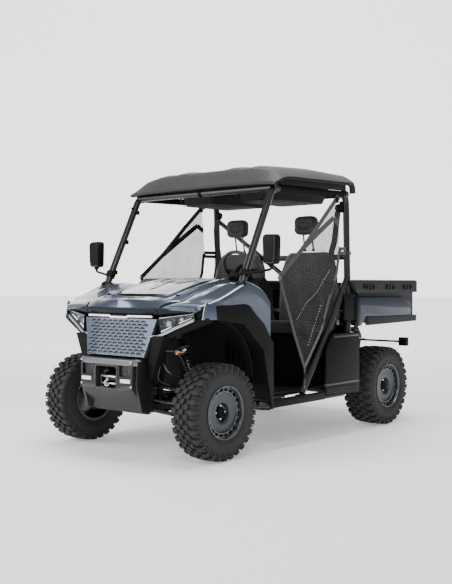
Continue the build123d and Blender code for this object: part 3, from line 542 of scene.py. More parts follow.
def baked(thing):
    """The object's modifiers worked into its mesh."""
    bpy.context.view_layer.update()
    graph = bpy.context.evaluated_depsgraph_get()
    mesh = bpy.data.meshes.new_from_object(thing.evaluated_get(graph), preserve_all_data_layers=True, depsgraph=graph)
    thing.modifiers.clear()
    thing.data = mesh
    return thing


def rounded(thing, width, segments, angle):
    edges = thing.modifiers.new("edges", "BEVEL")
    edges.width, edges.segments, edges.limit_method, edges.angle_limit = width * MM, segments, "ANGLE", radians(angle)


def shaded(thing, smooth):
    """Smooth shading, with edges that are sharper than an angle kept sharp."""
    thing.data.shade_smooth()
    thing.data.set_sharp_from_angle(angle=radians(smooth))


def meshed(name, form, weld=1e-6, outward=True, edges=()):
    """A mesh of the form, with its doubles merged and its faces turned outwards."""
    mesh = bpy.data.meshes.new(name)
    mesh.from_pydata(form.points, list(edges), form.faces)
    if form.faces:
        mesh.polygons.foreach_set("material_index", form.slots)
        work = bmesh.new()
        work.from_mesh(mesh)
        bmesh.ops.remove_doubles(work, verts=work.verts, dist=weld)
        bmesh.ops.dissolve_degenerate(work, edges=work.edges, dist=1e-7)
        if outward:
            bmesh.ops.recalc_face_normals(work, faces=work.faces)
        work.to_mesh(mesh)
        work.free()
    return mesh


def piece(name, form, finishes, stands_for=(), body="chassis", bevel=0.0, segments=2, smooth=38, weld=1e-6,
        outward=True):
    """Makes one finished piece of the vehicle from a form."""
    thing = link(name, meshed(name, form, weld, outward), finishes)
    if bevel:
        rounded(thing, bevel, segments, 28)
        baked(thing)
    shaded(thing, smooth)
    return settle(thing, body, stands_for)


def settle(thing, body, stands_for=()):
    """Puts a finished piece on its body."""
    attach(thing, body)
    if stands_for:
        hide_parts(*([stands_for] if isinstance(stands_for, str) else stands_for))
    return thing


def softened(node, finish, width=3.0, segments=2, body="chassis", smooth=38, shaped=None):
    """A welded copy of a node with its edges rounded, which stands for the node."""
    work = bmesh.new()
    work.from_mesh(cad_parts[node].data)
    if shaped:
        for vert in work.verts:
            shaped(vert.co)
    bmesh.ops.remove_doubles(work, verts=work.verts, dist=2e-5)
    bmesh.ops.dissolve_limit(work, angle_limit=radians(1.2), verts=work.verts, edges=work.edges)
    mesh = bpy.data.meshes.new(node + "_finished")
    work.to_mesh(mesh)
    work.free()
    thing = link(node + "_finished", mesh, [finish])
    rounded(thing, width, segments, 24)
    baked(thing)
    shaded(thing, smooth)
    return settle(thing, body, node)


# Geometry Nodes
class Tree(Nodes):
    """A Geometry Nodes tree under construction, with named inputs."""

    def __init__(self, name, inputs):
        super().__init__(bpy.data.node_groups.new(name, "GeometryNodeTree"))
        face = self.tree.interface
        face.new_socket("Geometry", in_out="INPUT", socket_type="NodeSocketGeometry")
        for label, kind, value in (*inputs, ("Finish", "Material", None)):
            made = face.new_socket(label, in_out="INPUT", socket_type="NodeSocket" + kind)
            if value is not None:
                made.default_value = value
        face.new_socket("Geometry", in_out="OUTPUT", socket_type="NodeSocketGeometry")
        self.given = self.node("NodeGroupInput").outputs
        self.end = self.node("NodeGroupOutput")

    def sum(self, operation, first, second, kind="ShaderNodeMath"):
        return self.node(kind, {"operation": operation}, i0=first, i1=second).outputs[0]

    def copies(self, points, instance, **values):
        return self.node("GeometryNodeInstanceOnPoints", None, Points=points, Instance=instance, **values).outputs[0]

    def finish(self, geometry):
        """Makes the copies real, gives them their finish and ends the tree."""
        real = self.node("GeometryNodeRealizeInstances", None, Geometry=geometry).outputs[0]
        dressed = self.node("GeometryNodeSetMaterial", None, Geometry=real, Material=self.given["Finish"]).outputs[0]
        self.join(self.end.inputs["Geometry"], dressed)
        return self.tree


def ring_tree():
    """Copies round an axle that runs across the vehicle."""
    tree = Tree("copies_round_an_axle", [("Count", "Int", 12), ("Centre", "Vector", (0, 0, 0))])
    given = tree.given
    points = tree.node("GeometryNodeMeshLine", {"mode": "OFFSET"}, Count=given["Count"],
        Start_Location=given["Centre"], Offset=(0, 0, 0)).outputs[0]
    away = tree.sum("MULTIPLY", given["Centre"], (-1, -1, -1), "ShaderNodeVectorMath")
    moved = tree.node("GeometryNodeTransform", None, Geometry=given["Geometry"], Translation=away).outputs[0]
    index = tree.node("GeometryNodeInputIndex").outputs[0]
    turn = tree.sum("MULTIPLY", index, tree.sum("DIVIDE", 2 * pi, given["Count"]))
    angle = tree.node("ShaderNodeCombineXYZ", None, X=turn).outputs[0]
    return tree.finish(tree.copies(points, moved, Rotation=angle))


def rows_tree():
    """Copies in rows and columns, with every other row shifted."""
    tree = Tree("copies_in_rows", [
        ("Columns", "Int", 4), ("Column Step", "Vector", (0.1, 0, 0)), ("Rows", "Int", 1),
        ("Row Step", "Vector", (0, 0, 0.1)), ("Stagger", "Vector", (0, 0, 0))])
    given = tree.given
    line, stack = (tree.node("GeometryNodeMeshLine", {"mode": "OFFSET"}, Count=given[count],
        Offset=given[step]).outputs[0] for count, step in (("Columns", "Column Step"), ("Rows", "Row Step")))
    odd = tree.sum("MODULO", tree.node("GeometryNodeInputIndex").outputs[0], 2.0)
    shift = tree.node("ShaderNodeVectorMath", {"operation": "SCALE"}, i0=given["Stagger"], Scale=odd).outputs[0]
    placed = tree.node("GeometryNodeSetPosition", None, Geometry=stack, Offset=shift).outputs[0]
    return tree.finish(tree.copies(placed, tree.copies(line, given["Geometry"])))


def path_tree():
    """Small round beads spaced along a line, such as stitches or lacing."""
    tree = Tree("beads_on_a_line", [("Spacing", "Float", 0.012), ("Length", "Float", 0.008),
        ("Radius", "Float", 0.002)])
    given = tree.given
    curve = tree.node("GeometryNodeMeshToCurve", None, Mesh=given["Geometry"]).outputs[0]
    spots = tree.node("GeometryNodeCurveToPoints", {"mode": "LENGTH"}, Curve=curve, Length=given["Spacing"]).outputs
    bead = tree.node("GeometryNodeMeshCylinder", None, Vertices=6, Radius=given["Radius"], Depth=given["Length"])
    return tree.finish(tree.copies(spots["Points"], bead.outputs["Mesh"], Rotation=spots["Rotation"]))


TREES = {}


def repeated(name, form, tree, finish, body="chassis", slot=None, smooth=38, bevel=0.0, edges=(), **values):
    """Makes a piece by running a Geometry Nodes tree on a form, and bakes it."""
    if tree not in TREES:
        TREES[tree] = {"ring": ring_tree, "rows": rows_tree, "path": path_tree}[tree]()
    thing = link(name, meshed(name, form, edges=edges), [finish])
    if bevel:
        rounded(thing, bevel, 1, 30)
    nodes = thing.modifiers.new("copies", "NODES")
    nodes.node_group = TREES[tree]
    sockets = {item.name: item.identifier for item in TREES[tree].interface.items_tree
        if item.item_type == "SOCKET" and item.in_out == "INPUT"}
    for key, value in (*values.items(), ("Finish", FINISH[finish])):
        nodes[sockets[key.replace("_", " ")]] = value
    baked(thing)
    shaded(thing, smooth)
    return settle(thing, body, ())


def beads(name, route, spacing, length, radius, finish, body="chassis", closed=False):
    """Stitches or lacing along a route."""
    form = Form()
    form.points = [tuple(point) for point in route]
    edges = [(index, index + 1) for index in range(len(route) - 1)] + ([(len(route) - 1, 0)] if closed else [])
    return repeated(name, form, "path", finish, body, edges=edges, Spacing=spacing * MM, Length=length * MM,
        Radius=radius * MM)


# Wheels
# Columns: name, side of the vehicle, track half, station, tyre width.
WHEELS = [
    ("front_left", 1, 614, 0, 203),
    ("front_right", -1, 614, 0, 203),
    ("rear_left", 1, 594, REAR_AXLE, 245),
    ("rear_right", -1, 594, REAR_AXLE, 245),
]
# Half of a tyre's section: share of its half width, and radius in mm.
TYRE_SECTION = [(0.78, 158.6), (0.86, 164), (0.885, 171), (0.925, 182), (0.968, 198), (0.99, 215), (0.996, 228),
    (0.988, 236), (0.996, 239), (0.982, 243), (0.968, 255), (0.945, 268), (0.9, 280), (0.8, 289), (0.5, 295.5),
    (0, 297.5)]


def round_axle(centre, out, axial, radius, angle):
    """A point about an axle, at an angle from straight up."""
    return centre + Vector((out * axial, radius * sin(angle), radius * cos(angle))) * MM


def lug(form, centre, out, corners, root, top):
    """One tread block with an eased top, from its corners as (distance along the axle, distance round) in mm."""
    middle_a = sum(a for a, c in corners) / len(corners)
    middle_c = sum(c for a, c in corners) / len(corners)
    rows = []
    for share, radius in ((1.06, root - 4), (1.0, top - 3.2), (0.97, top - 1.0), (0.86, top)):
        rows.append([round_axle(centre, out, middle_a + (a - middle_a) * share, radius,
            (middle_c + (c - middle_c) * share) / TYRE_RADIUS) for a, c in corners])
    form.loft(rows)


def tread_pitch(centre, out, width, height, pitches):
    """The blocks of one pitch of the tread, at the top of the wheel."""
    form = Form()
    wide = width / 203
    pitch = 2 * pi * TYRE_RADIUS / pitches
    long = pitch * 0.62 / 2
    root, top = TYRE_RADIUS - height / MM, TYRE_RADIUS - 0.4
    lug(form, centre, out, [(-13 * wide, -long * 0.9), (4 * wide, -long), (13 * wide, long * 0.4), (10 * wide, long),
        (-13 * wide, long * 0.8)], root, top)
    for side in (-1, 1):
        shift = pitch / 2 * (1 if side > 0 else 0.9)
        lug(form, centre, out, [(side * a * wide, c * side + shift) for a, c in ((17, -long * 0.8), (31, -long),
            (45, -long * 0.7), (47, long * 0.9), (30, long * 0.75), (18, long))], root - 1, top - 0.8)
        lug(form, centre, out, [(side * a * wide, c * side) for a, c in ((52, -long * 0.72), (68, -long * 0.9),
            (85, -long * 0.82), (85, long * 0.82), (67, long * 0.66), (53, long * 0.9))], root - 2.5, top - 3.5)
        # The shoulder block carries on down the side of the tyre, longer on every other lug.
        rows = []
        for a, r, half in ((84, 307, 0.8), (92.5, 303.5, 0.74), (97.2, 295, 0.68), (99.8, 283, 0.6),
                (100.3, 270, 0.46), (97.5, 263, 0.42), (88, 270, 0.5), (80, 285, 0.75)):
            rows.append([round_axle(centre, out, side * a * wide, r, side * turn * long * half / TYRE_RADIUS)
                for turn in (-1, 1)])
        form.loft(list(zip(*rows)))
        middle = 0.5 * pitch / TYRE_RADIUS
        blades = []
        for a, r in ((95.5, 290), (99.6, 281), (101.2, 264), (101.4, 250), (97, 250), (93, 284)):
            blades.append([round_axle(centre, out, side * a * wide, r, middle + step * 0.019) for step in (-1, 1)])
        form.loft(list(zip(*blades)))
    return form


def make_tyre(sizes, name, out, track, station, width):
    centre, body = at(out * track, station, TYRE_RADIUS), "wheel_" + name
    half = width / 2
    section = [(share * half, radius) for share, radius in TYRE_SECTION]
    section += [(-along, radius) for along, radius in reversed(section[:-1])]
    casing = Form().lathe(section, centre, (out, 0, 0), 88, closed=True)
    for side in (-1, 1):
        for ring in (249, 192):
            share = min(TYRE_SECTION, key=lambda spot: abs(spot[1] - ring))[0]
            foot = side * (share * half - 1)
            casing.lathe([(foot, ring - 1.2), (side * (share * half + 0.2), ring), (foot, ring + 1.2)], centre,
                (out, 0, 0), 88, closed=True)
    piece("tyre_casing_" + name, casing, ["rubber"], "tyre_" + name, body=body, smooth=60)
    repeated("tread_blocks_" + name, tread_pitch(centre, out, width, sizes.tread_height, sizes.tread_pitches), "ring",
        "rubber", body, slot="tyre_rubber", Count=sizes.tread_pitches, Centre=centre, smooth=30)


def make_rim(sizes, name, out, track, station, width):
    centre, body = at(out * track, station, TYRE_RADIUS), "wheel_" + name
    bead = width / 2 * 0.84
    lip = bead + 11
    axle = (out, 0, 0)
    rim = Form()
    rim.lathe([(-lip, 151), (-lip, 168), (-lip + 2, 170), (-bead - 2, 170), (-bead, 166), (-bead + 3, 157.5),
        (bead - 3, 157.5), (bead, 166), (bead + 2, 170), (lip - 2, 170), (lip, 168), (lip - 1, 164), (lip - 6, 159),
        (lip - 16, 157), (bead - 20, 156.5), (bead - 30, 152), (20, 151)], centre, axle, 88, closed=True)
    face = bead - 12
    # The disc: a rolled edge inside the slots, a broad flat face and a deep centre.
    rim.lathe([(face - 7, 137), (face - 1, 135.5), (face, 133), (face - 2, 129.5), (face - 6, 126), (face - 7.5, 120),
        (face - 8.5, 90), (face - 9, 66), (face - 11, 61.5), (face - 22, 57), (face - 30, 54), (face - 34, 52),
        (face - 36, 47), (face - 36, 20.5), (face - 42, 20.5), (face - 42, 55), (face - 30, 60), (face - 17, 68),
        (face - 13.5, 120), (face - 14, 137)], centre, axle, 72, closed=True)
    rim.lathe([(19.5, 151.5), (19.5, 30), (13.5, 20.5), (10.5, 30), (10.5, 151.5)], centre, axle, 64, closed=True)
    # Bright edges of the lip and on both sides of the slots.
    rim.lathe([(lip - 1, 165.2), (lip + 1.2, 166), (lip + 1.2, 168.2), (lip - 2, 169.5)], centre, axle, 88, 1, True)
    rim.lathe([(face - 1, 134.5), (face + 2.2, 134.2), (face + 2.2, 131.8), (face - 1, 131.5)], centre, axle, 80, 1,
        True)
    rim.lathe([(face - 1, 156.5), (face + 4, 156.2), (face + 4, 154), (face - 3, 154)], centre, axle, 80, 1, True)
    # Hub in the deep centre, with its cap.
    rim.lathe([(face - 37, 0), (face - 37, 34), (face - 20, 33), (face - 14, 30), (face - 12, 22), (face - 11.5, 0)],
        centre, axle, 32, 2)
    rim.lathe([(4, 108), (4, 30), (9, 30), (9, 108)], centre, axle, 56, 3, True)
    piece("rim_shell_" + name, rim, ["rim", "rim_edge", "dark", "steel"], "rim_" + name, body=body,
        smooth=40)
    bar = Form()
    turn = 2 * pi / sizes.rim_slots * 0.19
    rows = []
    for step in (-1, 1):
        rows.append([round_axle(centre, out, along, radius, step * turn * (146 / radius))
            for along, radius in ((face - 9, 134.5), (face + 0.5, 134.5), (face + 2, 146.5), (face + 2.5, 156.2),
            (face - 8, 157.2))])
    bar.loft(rows)
    repeated("rim_bars_" + name, bar, "ring", "rim", body, slot="rim_metal", Count=sizes.rim_slots, Centre=centre,
        bevel=1.2)
    nut = Form().lathe([(face - 36, 0), (face - 36, 8.5), (face - 26, 8.5), (face - 23, 6), (face - 22, 0)],
        centre + Vector((0, 0, 0.042)), axle, 6)
    repeated("wheel_nuts_" + name, nut, "ring", "chrome", body, Count=4, Centre=centre)


# Front body
# Columns: station, half width, height of the side.
HOOD_SECTIONS = [(-262, 335, 1000), (-225, 352, 1005), (-120, 425, 1010), (100, 398, 1070), (300, 372, 1116),
    (470, 360, 1142)]
# The station of the nose, and half the width of the hood there.
NOSE, NOSE_HALF = -262, 331
# Share of the half width, and share of it above the side.
HOOD_PROFILE = [(0, 0.047), (0.3, 0.045), (0.6, 0.026), (0.78, 0.038), (1, 0)]


def between(table, key, column):
    """A table's value at a key, in straight lines."""
    for before, after in zip(table, table[1:]):
        if key <= after[0]:
            share = (key - before[0]) / (after[0] - before[0])
            return before[column] + (after[column] - before[column]) * max(share, 0.0)
    return table[-1][column]


def blurred(table, key, reach=0.05):
    """The second column at a key, with the table's corners rounded."""
    return (between(table, max(key - reach, 0), 1) + 2 * between(table, key, 1)
            + between(table, min(key + reach, 1), 1)) / 4


def ease(value, low, high):
    """A soft step from 0 to 1."""
    share = min(max((value - low) / (high - low), 0.0), 1.0)
    return share * share * (3 - 2 * share)


def nose_line(x):
    """The station where the nose ends, at a distance from the middle."""
    return NOSE + 93 * (x / 607) ** 2


def hood_height(x, station):
    """The hood's skin with its creases: a raised centre panel, a shallow V in it and a ridge at each side."""
    half = between(HOOD_SECTIONS, station, 1)
    reach = 18 if station > -200 else 0
    side = sum(between(HOOD_SECTIONS, station + shift, 2) for shift in (-reach, 0, reach)) / 3
    out = min(abs(x) / half, 1.0)
    rise = blurred(HOOD_PROFILE, out) if 0.06 < out < 0.95 else between(HOOD_PROFILE, out, 1)
    z = side + half * rise
    panel_edge = 292 - (station + 86) * 0.09
    panel = ease(station, -82, -66) * (1 - ease(abs(x), panel_edge - 22, panel_edge + 6))
    z += 9 * panel
    groove = exp(-((station + 78) / 7.0) ** 2) * (1 - ease(abs(x), 300, 330))
    z -= 5 * groove
    # The V in the centre panel opens rearwards from its point.
    v_edge = (station - 29) * 0.62
    z -= 11 * ease(v_edge - abs(x), -8, 26) * ease(station, 29, 130)
    ridge = exp(-((abs(x) - (334 - (station + 60) * 0.035)) / 13.0) ** 2)
    z += 7 * ridge * ease(station, -60, 30)
    z += 5 * ease(station, 420, 470) * (1 - ease(abs(x), 200, 330))
    crest = -257 + 0.286 * abs(x)
    if station < crest:
        z -= (z - 964) * min((crest - station) / max(crest - nose_line(x), 1), 1) ** 1.5
    return z


def make_hood():
    rows = []
    across = 92
    stations = [-262, -261.6, -261, -260, -259, -257.5, -255, -251, -246, -240, -233] + [-225 + 695 * step / 84
        for step in range(85)]
    for station in stations:
        half = between(HOOD_SECTIONS, station, 1)
        top, under = [], []
        for step in range(across + 1):
            x = half * (2 * step / across - 1)
            spot = station + (nose_line(x) - NOSE) * (1 - ease(station, NOSE, -90))
            z = hood_height(x, spot) - 4 * (1 - ease(half - abs(x), 0, 9))
            top.append(at(x, spot, z))
            under.append(at(x * 0.992, max(spot, nose_line(x) + 8), z - 14))
        rows.append(top + list(reversed(under)))
    piece("hood_skin", Form().loft(rows), ["body"], "hood", body="hood", smooth=34, weld=1e-5)
    # Near-black strips laid on the hood's skin along its panel edges, the groove across it and its V: painted shade
    # in the grooves.
    groove_shade_strips = Form()
    for route in (((-318, -40, 4), (-160, -66, 6), (0, -76, 7), (160, -66, 6), (318, -40, 4)),
            ((296, -66, 5), (276, 130, 11), (258, 340, 19)), ((-296, -66, 5), (-276, 130, 11), (-258, 340, 19)),
            ((0, 26, 3), (52, 190, 9), (104, 380, 17)), ((0, 26, 3), (-52, 190, 9), (-104, 380, 17))):
        rows = []
        # How far a step across the strip goes along X and along the stations.
        lengthways = abs(route[0][1] - route[-1][1]) >= 50
        wide, back = (1, 0.12 if route[1][0] > 0 else -0.12) if lengthways else (0.15, 1)
        for step in range(len(route) * 12 - 11):
            share = step / 12
            x, station, half = faired(route, share)
            row = []
            for part, lift in ((-half, -3), (-half, 0.9), (0, 1.5), (half, 0.9), (half, -3)):
                across, along = x + wide * part, station + back * part
                row.append(at(across, along, hood_height(across, along) + lift))
            rows.append(row)
        groove_shade_strips.loft(rows)
    piece("hood_groove_shade", groove_shade_strips, ["dark"], body="hood", smooth=60)
    latch = Form()
    for side in (-1, 1):
        latch.lathe([(0, 0), (0, 13), (4, 12), (6, 7), (6.5, 0)], at(side * 330, -40, hood_height(330, -40) - 1),
            (0, -0.25, 1), 20)
    piece("hood_latches", latch, ["dark"], body="hood", smooth=40)
    for name, body, start, end, sides in (("hood_lip", "hood", -NOSE_HALF, NOSE_HALF, (1,)),
            ("fender_lips", "chassis", 336, 603, (1, -1))):
        lip = Form()
        for side in sides:
            rows = []
            for step in range(41):
                x = start + (end - start) * step / 40
                front, out = nose_line(x), max(abs(x) - NOSE_HALF, 0) / 272
                top, foot = 967 - 16 * out, 930 - 9 * (min(abs(x), NOSE_HALF) / NOSE_HALF) ** 2 + 22 * out
                rows.append([at(x * side, front + along, z) for along, z in ((-1, top), (0, (top + foot) / 2),
                    (6, foot), (22, foot), (20, top - 4), (9, top))])
            lip.loft(rows)
        piece(name, lip, ["lip"], body=body, bevel=2, smooth=40)


# Columns: station, seam x and height, inset of the side, height of the brow and of the lower edge.
FENDER_SECTIONS = [(-235, 344, 964, 92, 955, 946), (-110, 424, 1007, 34, 996, 972), (-40, 424, 1030, 4, 1024, 984),
    (60, 410, 1060, 2, 1060, 984), (235, 387, 1104, 0, 1128, 984), (310, 377, 1118, 0, 1118, 925),
    (402, 372, 1130, 0, 1080, 850), (474, 368, 1140, 0, 1006, 752)]


def make_fenders():
    rows = []
    steps = 72
    for step in range(steps + 1):
        share = step / steps * (len(FENDER_SECTIONS) - 1)
        station, seam_x, seam_z, inset, brow_z, edge_z = faired(FENDER_SECTIONS, share)
        side = 694 - max(inset, 0)
        outer, inner = [], []
        for part in range(11):
            s = part / 10
            x, z = seam_x + (side - 30 - seam_x) * s, seam_z + (brow_z - seam_z) * s
            band = exp(-((s - 0.52) / 0.05) ** 2) * 4.5 - exp(-((s - 0.66) / 0.06) ** 2) * 3.0
            z += 5 * sin(pi * s) + band * ease(station, -60, 60) - (3 if part == 0 else 0)
            outer.append((x, z))
            inner.append((x, z - 13))
        for part in range(1, 7):
            s = part / 6
            x = (side - 30) * (1 - s) ** 2 + side * 2 * s * (1 - s) + side * s * s
            z = brow_z * (1 - s) ** 2 + (brow_z + 0.5) * 2 * s * (1 - s) + (brow_z - 24) * s * s
            outer.append((x, z))
            inner.append((x - 11, z - 11 * (1 - s)))
        for part in range(1, 5):
            s = part / 4
            z = (brow_z - 24) * (1 - s) + edge_z * s
            outer.append((side, z))
            inner.append((side - 12, z))
        nose = max(1 - share, 0)
        rows.append([at(x, station * (1 - nose) + nose_line(x) * nose + (6 if nose and x < 400 else 0) * nose, z)
            for x, z in outer + inner[::-1]])
    piece("fender_skins", Form().loft(rows).mirrored(), ["body"], "fenders", smooth=36)
    seals = Form()
    for side in (-1, 1):
        foot, head = at(side * 647, 206, 1062), at(side * 647, 240, 1140)
        run = head - foot
        seals.lathe([(0, 26.2), (0, 47), (58, 44), (70, 34), (74, 26.2)], foot, run, 28, closed=True)
    piece("pillar_seals", seals, ["plastic"], smooth=50)
    arch = Form()
    rows = []
    for station, z in ((40, 872), (130, 862), (215, 820), (285, 755), (335, 675), (365, 590), (378, 500)):
        rows.append(marks((560, station, z), (612, station, z + 4), (616, station + 6, z + 12),
            (612, station + 14, z + 14), (560, station + 12, z + 12)))
    piece("liner_ledges", arch.loft(rows).mirrored(), ["plastic"], bevel=3, smooth=70)
    edge = Form()
    edge.tube(marks((663, -136, 1004), (657, -146, 960), (651, -156, 898)), 3.5, 8)
    edge.prism(marks((611, -168, 948), (655, -146, 985), (652, -155, 899), (622, -168, 903)), (0, 0.012, 0), 1)
    piece("fender_blades", edge.mirrored(), ["silver", "dark"], bevel=2)


# Where the flares' front end starts, and its length.
FLARE_FRONT, FLARE_NOSE = FRONT_AXLE_Y - 0.07, 0.124


def tucked(point):
    """Draws the flares' front end in towards the nose."""
    if abs(point.x) > 0.6 and point.y < FLARE_FRONT and point.z > 0.8:
        share = (FLARE_FRONT - point.y) / FLARE_NOSE
        point.y = FLARE_FRONT - share * 0.084
        point.x -= (0.048 if point.x > 0 else -0.048) * share


LAMP_TURN = radians(16.7)


def lamp_at(along, z, depth=0.0):
    """A point on the left headlight's face: distance outwards along it, height, and depth behind it, in mm."""
    return at(350 + along * cos(LAMP_TURN) - depth * sin(LAMP_TURN), -245 + along * sin(LAMP_TURN)
        + depth * cos(LAMP_TURN), z)


LAMP_OUTLINE = [(2, 911), (264, 942), (259, 906), (120, 848), (14, 799)]


def inset_outline(outline, by):
    """The outline moved inwards by a distance."""
    count = len(outline)
    result = []
    turning = sum(outline[i][0] * outline[(i + 1) % count][1] - outline[(i + 1) % count][0] * outline[i][1]
        for i in range(count))
    sign = 1 if turning > 0 else -1
    for index in range(count):
        before, here, after = (Vector(outline[(index + shift) % count]) for shift in (-1, 0, 1))
        first, second = (here - before).normalized(), (after - here).normalized()
        normal_a, normal_b = Vector((-first.y, first.x)) * sign, Vector((-second.y, second.x)) * sign
        middle = (normal_a + normal_b).normalized()
        result.append(tuple(here + middle * by / max(middle.dot(normal_a), 0.35)))
    return result


def across_at(x, z, station):
    """A point of an outline that faces forwards."""
    return at(x, station, z)


def side_at(station, z, x):
    """A point of an outline that faces sideways."""
    return at(x, station, z)


def make_headlights():
    shell = Form()
    rows = shell.stepped(lamp_at, LAMP_OUTLINE, ((0, 78), (0, 3), (1.5, 0), (6, 0), (8, 4), (12, 42)))
    shell.add(rows[0], [[4, 3, 2, 1, 0]])
    shell.add(rows[-1], [[0, 1, 2, 3, 4]])
    # Stepped shelves and cells inside the housing.
    for along, z, wide, high, depth in ((70, 868, 88, 58, 30), (158, 893, 70, 48, 32)):
        outline = [(along - wide / 2, z + high / 2), (along + wide / 2, z + high / 2 + 8), (along + wide / 2 - 8,
            z - high / 2 + 12), (along - wide / 4, z - high / 2)]
        cell = shell.stepped(lamp_at, outline, ((-3, depth + 12), (-3, depth - 12), (0, depth - 15), (3, depth - 12),
            (7, depth + 8)), 1)
        shell.add(cell[-1], [[0, 1, 2, 3]], 1)
    face = Vector((sin(LAMP_TURN), -cos(LAMP_TURN), 0))
    for along, z, radius in ((66, 866, 21), (156, 895, 16.5)):
        centre = lamp_at(along, z, 34)
        shell.lathe([(0, radius * 1.25), (14, radius * 1.2), (16, radius * 1.1), (12, radius), (0, radius * 0.92)],
            centre, face, 32, 1, True)
        # The lens dome takes the pale projector glass, a painted highlight.
        shell.lathe([(2 + radius * 0.75 * sin(step * pi / 16), radius * cos(step * pi / 16)) for step in range(9)],
            centre, face, 28, 2)
    for along in (206, 222, 238):
        shell.lathe([(0, 6.5), (6, 6), (8, 0)], lamp_at(along, 914 + (along - 206) * 0.12, 26), face, 16, 1)
    shell.mirrored()
    piece("headlight_housings", shell, ["dark", "steel", "projector_highlight"], "headlights", smooth=34)
    glow = Form()
    inwards = lamp_at(0, 0, 10) - lamp_at(0, 0)
    glow.prism([lamp_at(*point, 2) for point in ((8, 905), (252, 935), (250, 930), (12, 899))], inwards)
    for foot in ((22, 812, 96, 842), (150, 866, 236, 899)):
        a, b = Vector(foot[:2]), Vector(foot[2:])
        glow.prism([lamp_at(*point, 6) for point in (a, b, b + Vector((-3, 9)), a + Vector((-3, 9)))], inwards, 1)
    piece("running_lights", glow.mirrored(), ["silver", "light"], bevel=1.5)
    trim = Form()
    strip = [(14, 799), (120, 848), (259, 906), (262, 898), (254, 884), (122, 829), (22, 783), (-62, 783), (-74, 791),
        (8, 797)]
    rows = trim.stepped(lamp_at, strip, ((0, 14), (0, -5), (1.6, -7.5), (4, -8)))
    trim.add(rows[-1], [list(range(len(strip)))])
    trim.add(rows[0], [list(range(len(strip)))])
    piece("lamp_trims", trim.mirrored(), ["silver"], smooth=40)
    cover = Form()
    cover.prism([lamp_at(*point, -1.5) for point in inset_outline(LAMP_OUTLINE, 5)], lamp_at(0, 0, 0.5) - lamp_at(0,
        0, -1.5))
    piece("lamp_covers", cover.mirrored(), ["clear"])
    line = Form()
    path = [(-300, 910), (-93, 910), (-74, 902), (74, 902), (93, 910), (300, 910)]
    rows = []
    for x, z in path:
        bow = 10 * (x / 300) ** 2 - 262
        rows.append(lengthwise(x, (bow, z - 6), (bow, z + 6), (bow + 12, z + 7), (bow + 12, z - 7)))
    line.loft(rows)
    piece("light_line", line, ["light"], "light_bar", bevel=1.5)
    tray = Form()
    tray.prism(crosswise(-248, (-300, 930), (300, 930), (300, 896), (-300, 896)), (0, 0.04, 0))
    piece("lamp_tray", tray, ["dark"], bevel=2)


GRILLE_FOOT = (270, -291, 650)
GRILLE_HEAD = (339, -240, 897)


def grille_at(x, up, proud=0.0):
    """A point on the grille's face: distance from the middle, distance up it and height off it, in mm."""
    rise = Vector((0, GRILLE_HEAD[1] - GRILLE_FOOT[1], GRILLE_HEAD[2] - GRILLE_FOOT[2]))
    lean = rise.normalized()
    off = Vector((0, -lean.z, lean.y))
    return at(x, GRILLE_FOOT[1] + lean.y * up + off.y * proud, GRILLE_FOOT[2] + lean.z * up + off.z * proud)


def make_grille(sizes):
    rise = hypot(GRILLE_HEAD[1] - GRILLE_FOOT[1], GRILLE_HEAD[2] - GRILLE_FOOT[2])
    shell = Form()
    rows = []
    for up in (0, 3, rise * 0.25, rise * 0.5, rise * 0.75, rise - 3, rise):
        half = GRILLE_FOOT[0] + (GRILLE_HEAD[0] - GRILLE_FOOT[0]) * up / rise
        row = [grille_at(half * share, up, 3.0 * (1 - share ** 6) - (3 if up in (0, rise) else 0)) for share in
               [part / 16 * 2 - 1 for part in range(17)]]
        rows.append(row + [grille_at(half, up, -26), grille_at(-half, up, -26)])
    shell.loft(rows)
    piece("grille_face", shell, ["grille"], "grille", smooth=34)
    columns, count = sizes.grille_columns, sizes.grille_rows
    step_up = (rise - 24) / count
    step_across = 2 * 262 / columns
    start = -step_across * (columns - 0.5) / 2
    scale, shade = Form(), Form()
    rows, shadow_slivers = [], []
    for part in range(9):
        s = part / 8 * 2 - 1
        x = start + s * step_across * 0.485
        lens = 1 - s * s
        low, high = -step_up * 0.56 * lens ** 0.8, step_up * 0.1 * lens ** 0.8
        base = 22
        rows.append([grille_at(x, base + low, 2.4), grille_at(x, base + low + 0.6, 2.6 + 4.6 * lens),
            grille_at(x, base + (low + high) / 2, 2.8 + 4.2 * lens), grille_at(x, base + high, 2.6)])
        # Above each scale a thin near-black sliver lies on the face: a painted shadow over the scale.
        shadow_slivers.append([grille_at(x, base + high - 0.4, 3.05), grille_at(x, base + high + step_up * 0.34 * lens, 3.35),
            grille_at(x, base + high + step_up * 0.34 * lens, 2.0), grille_at(x, base + high - 0.4, 2.0)])
    scale.loft(rows)
    shade.loft(shadow_slivers)
    lift = grille_at(0, step_up) - grille_at(0, 0)
    steps = in_rows(columns, (step_across, 0, 0), count, lift / MM, (step_across / 2, 0, 0))
    repeated("grille_scales", scale, "rows", "grille", slot="grille_plastic", smooth=50, **steps)
    # The slivers are near-black plastic: painted shadows above the scales.
    repeated("grille_scale_shadows", shade, "rows", "plastic", smooth=50, **steps)


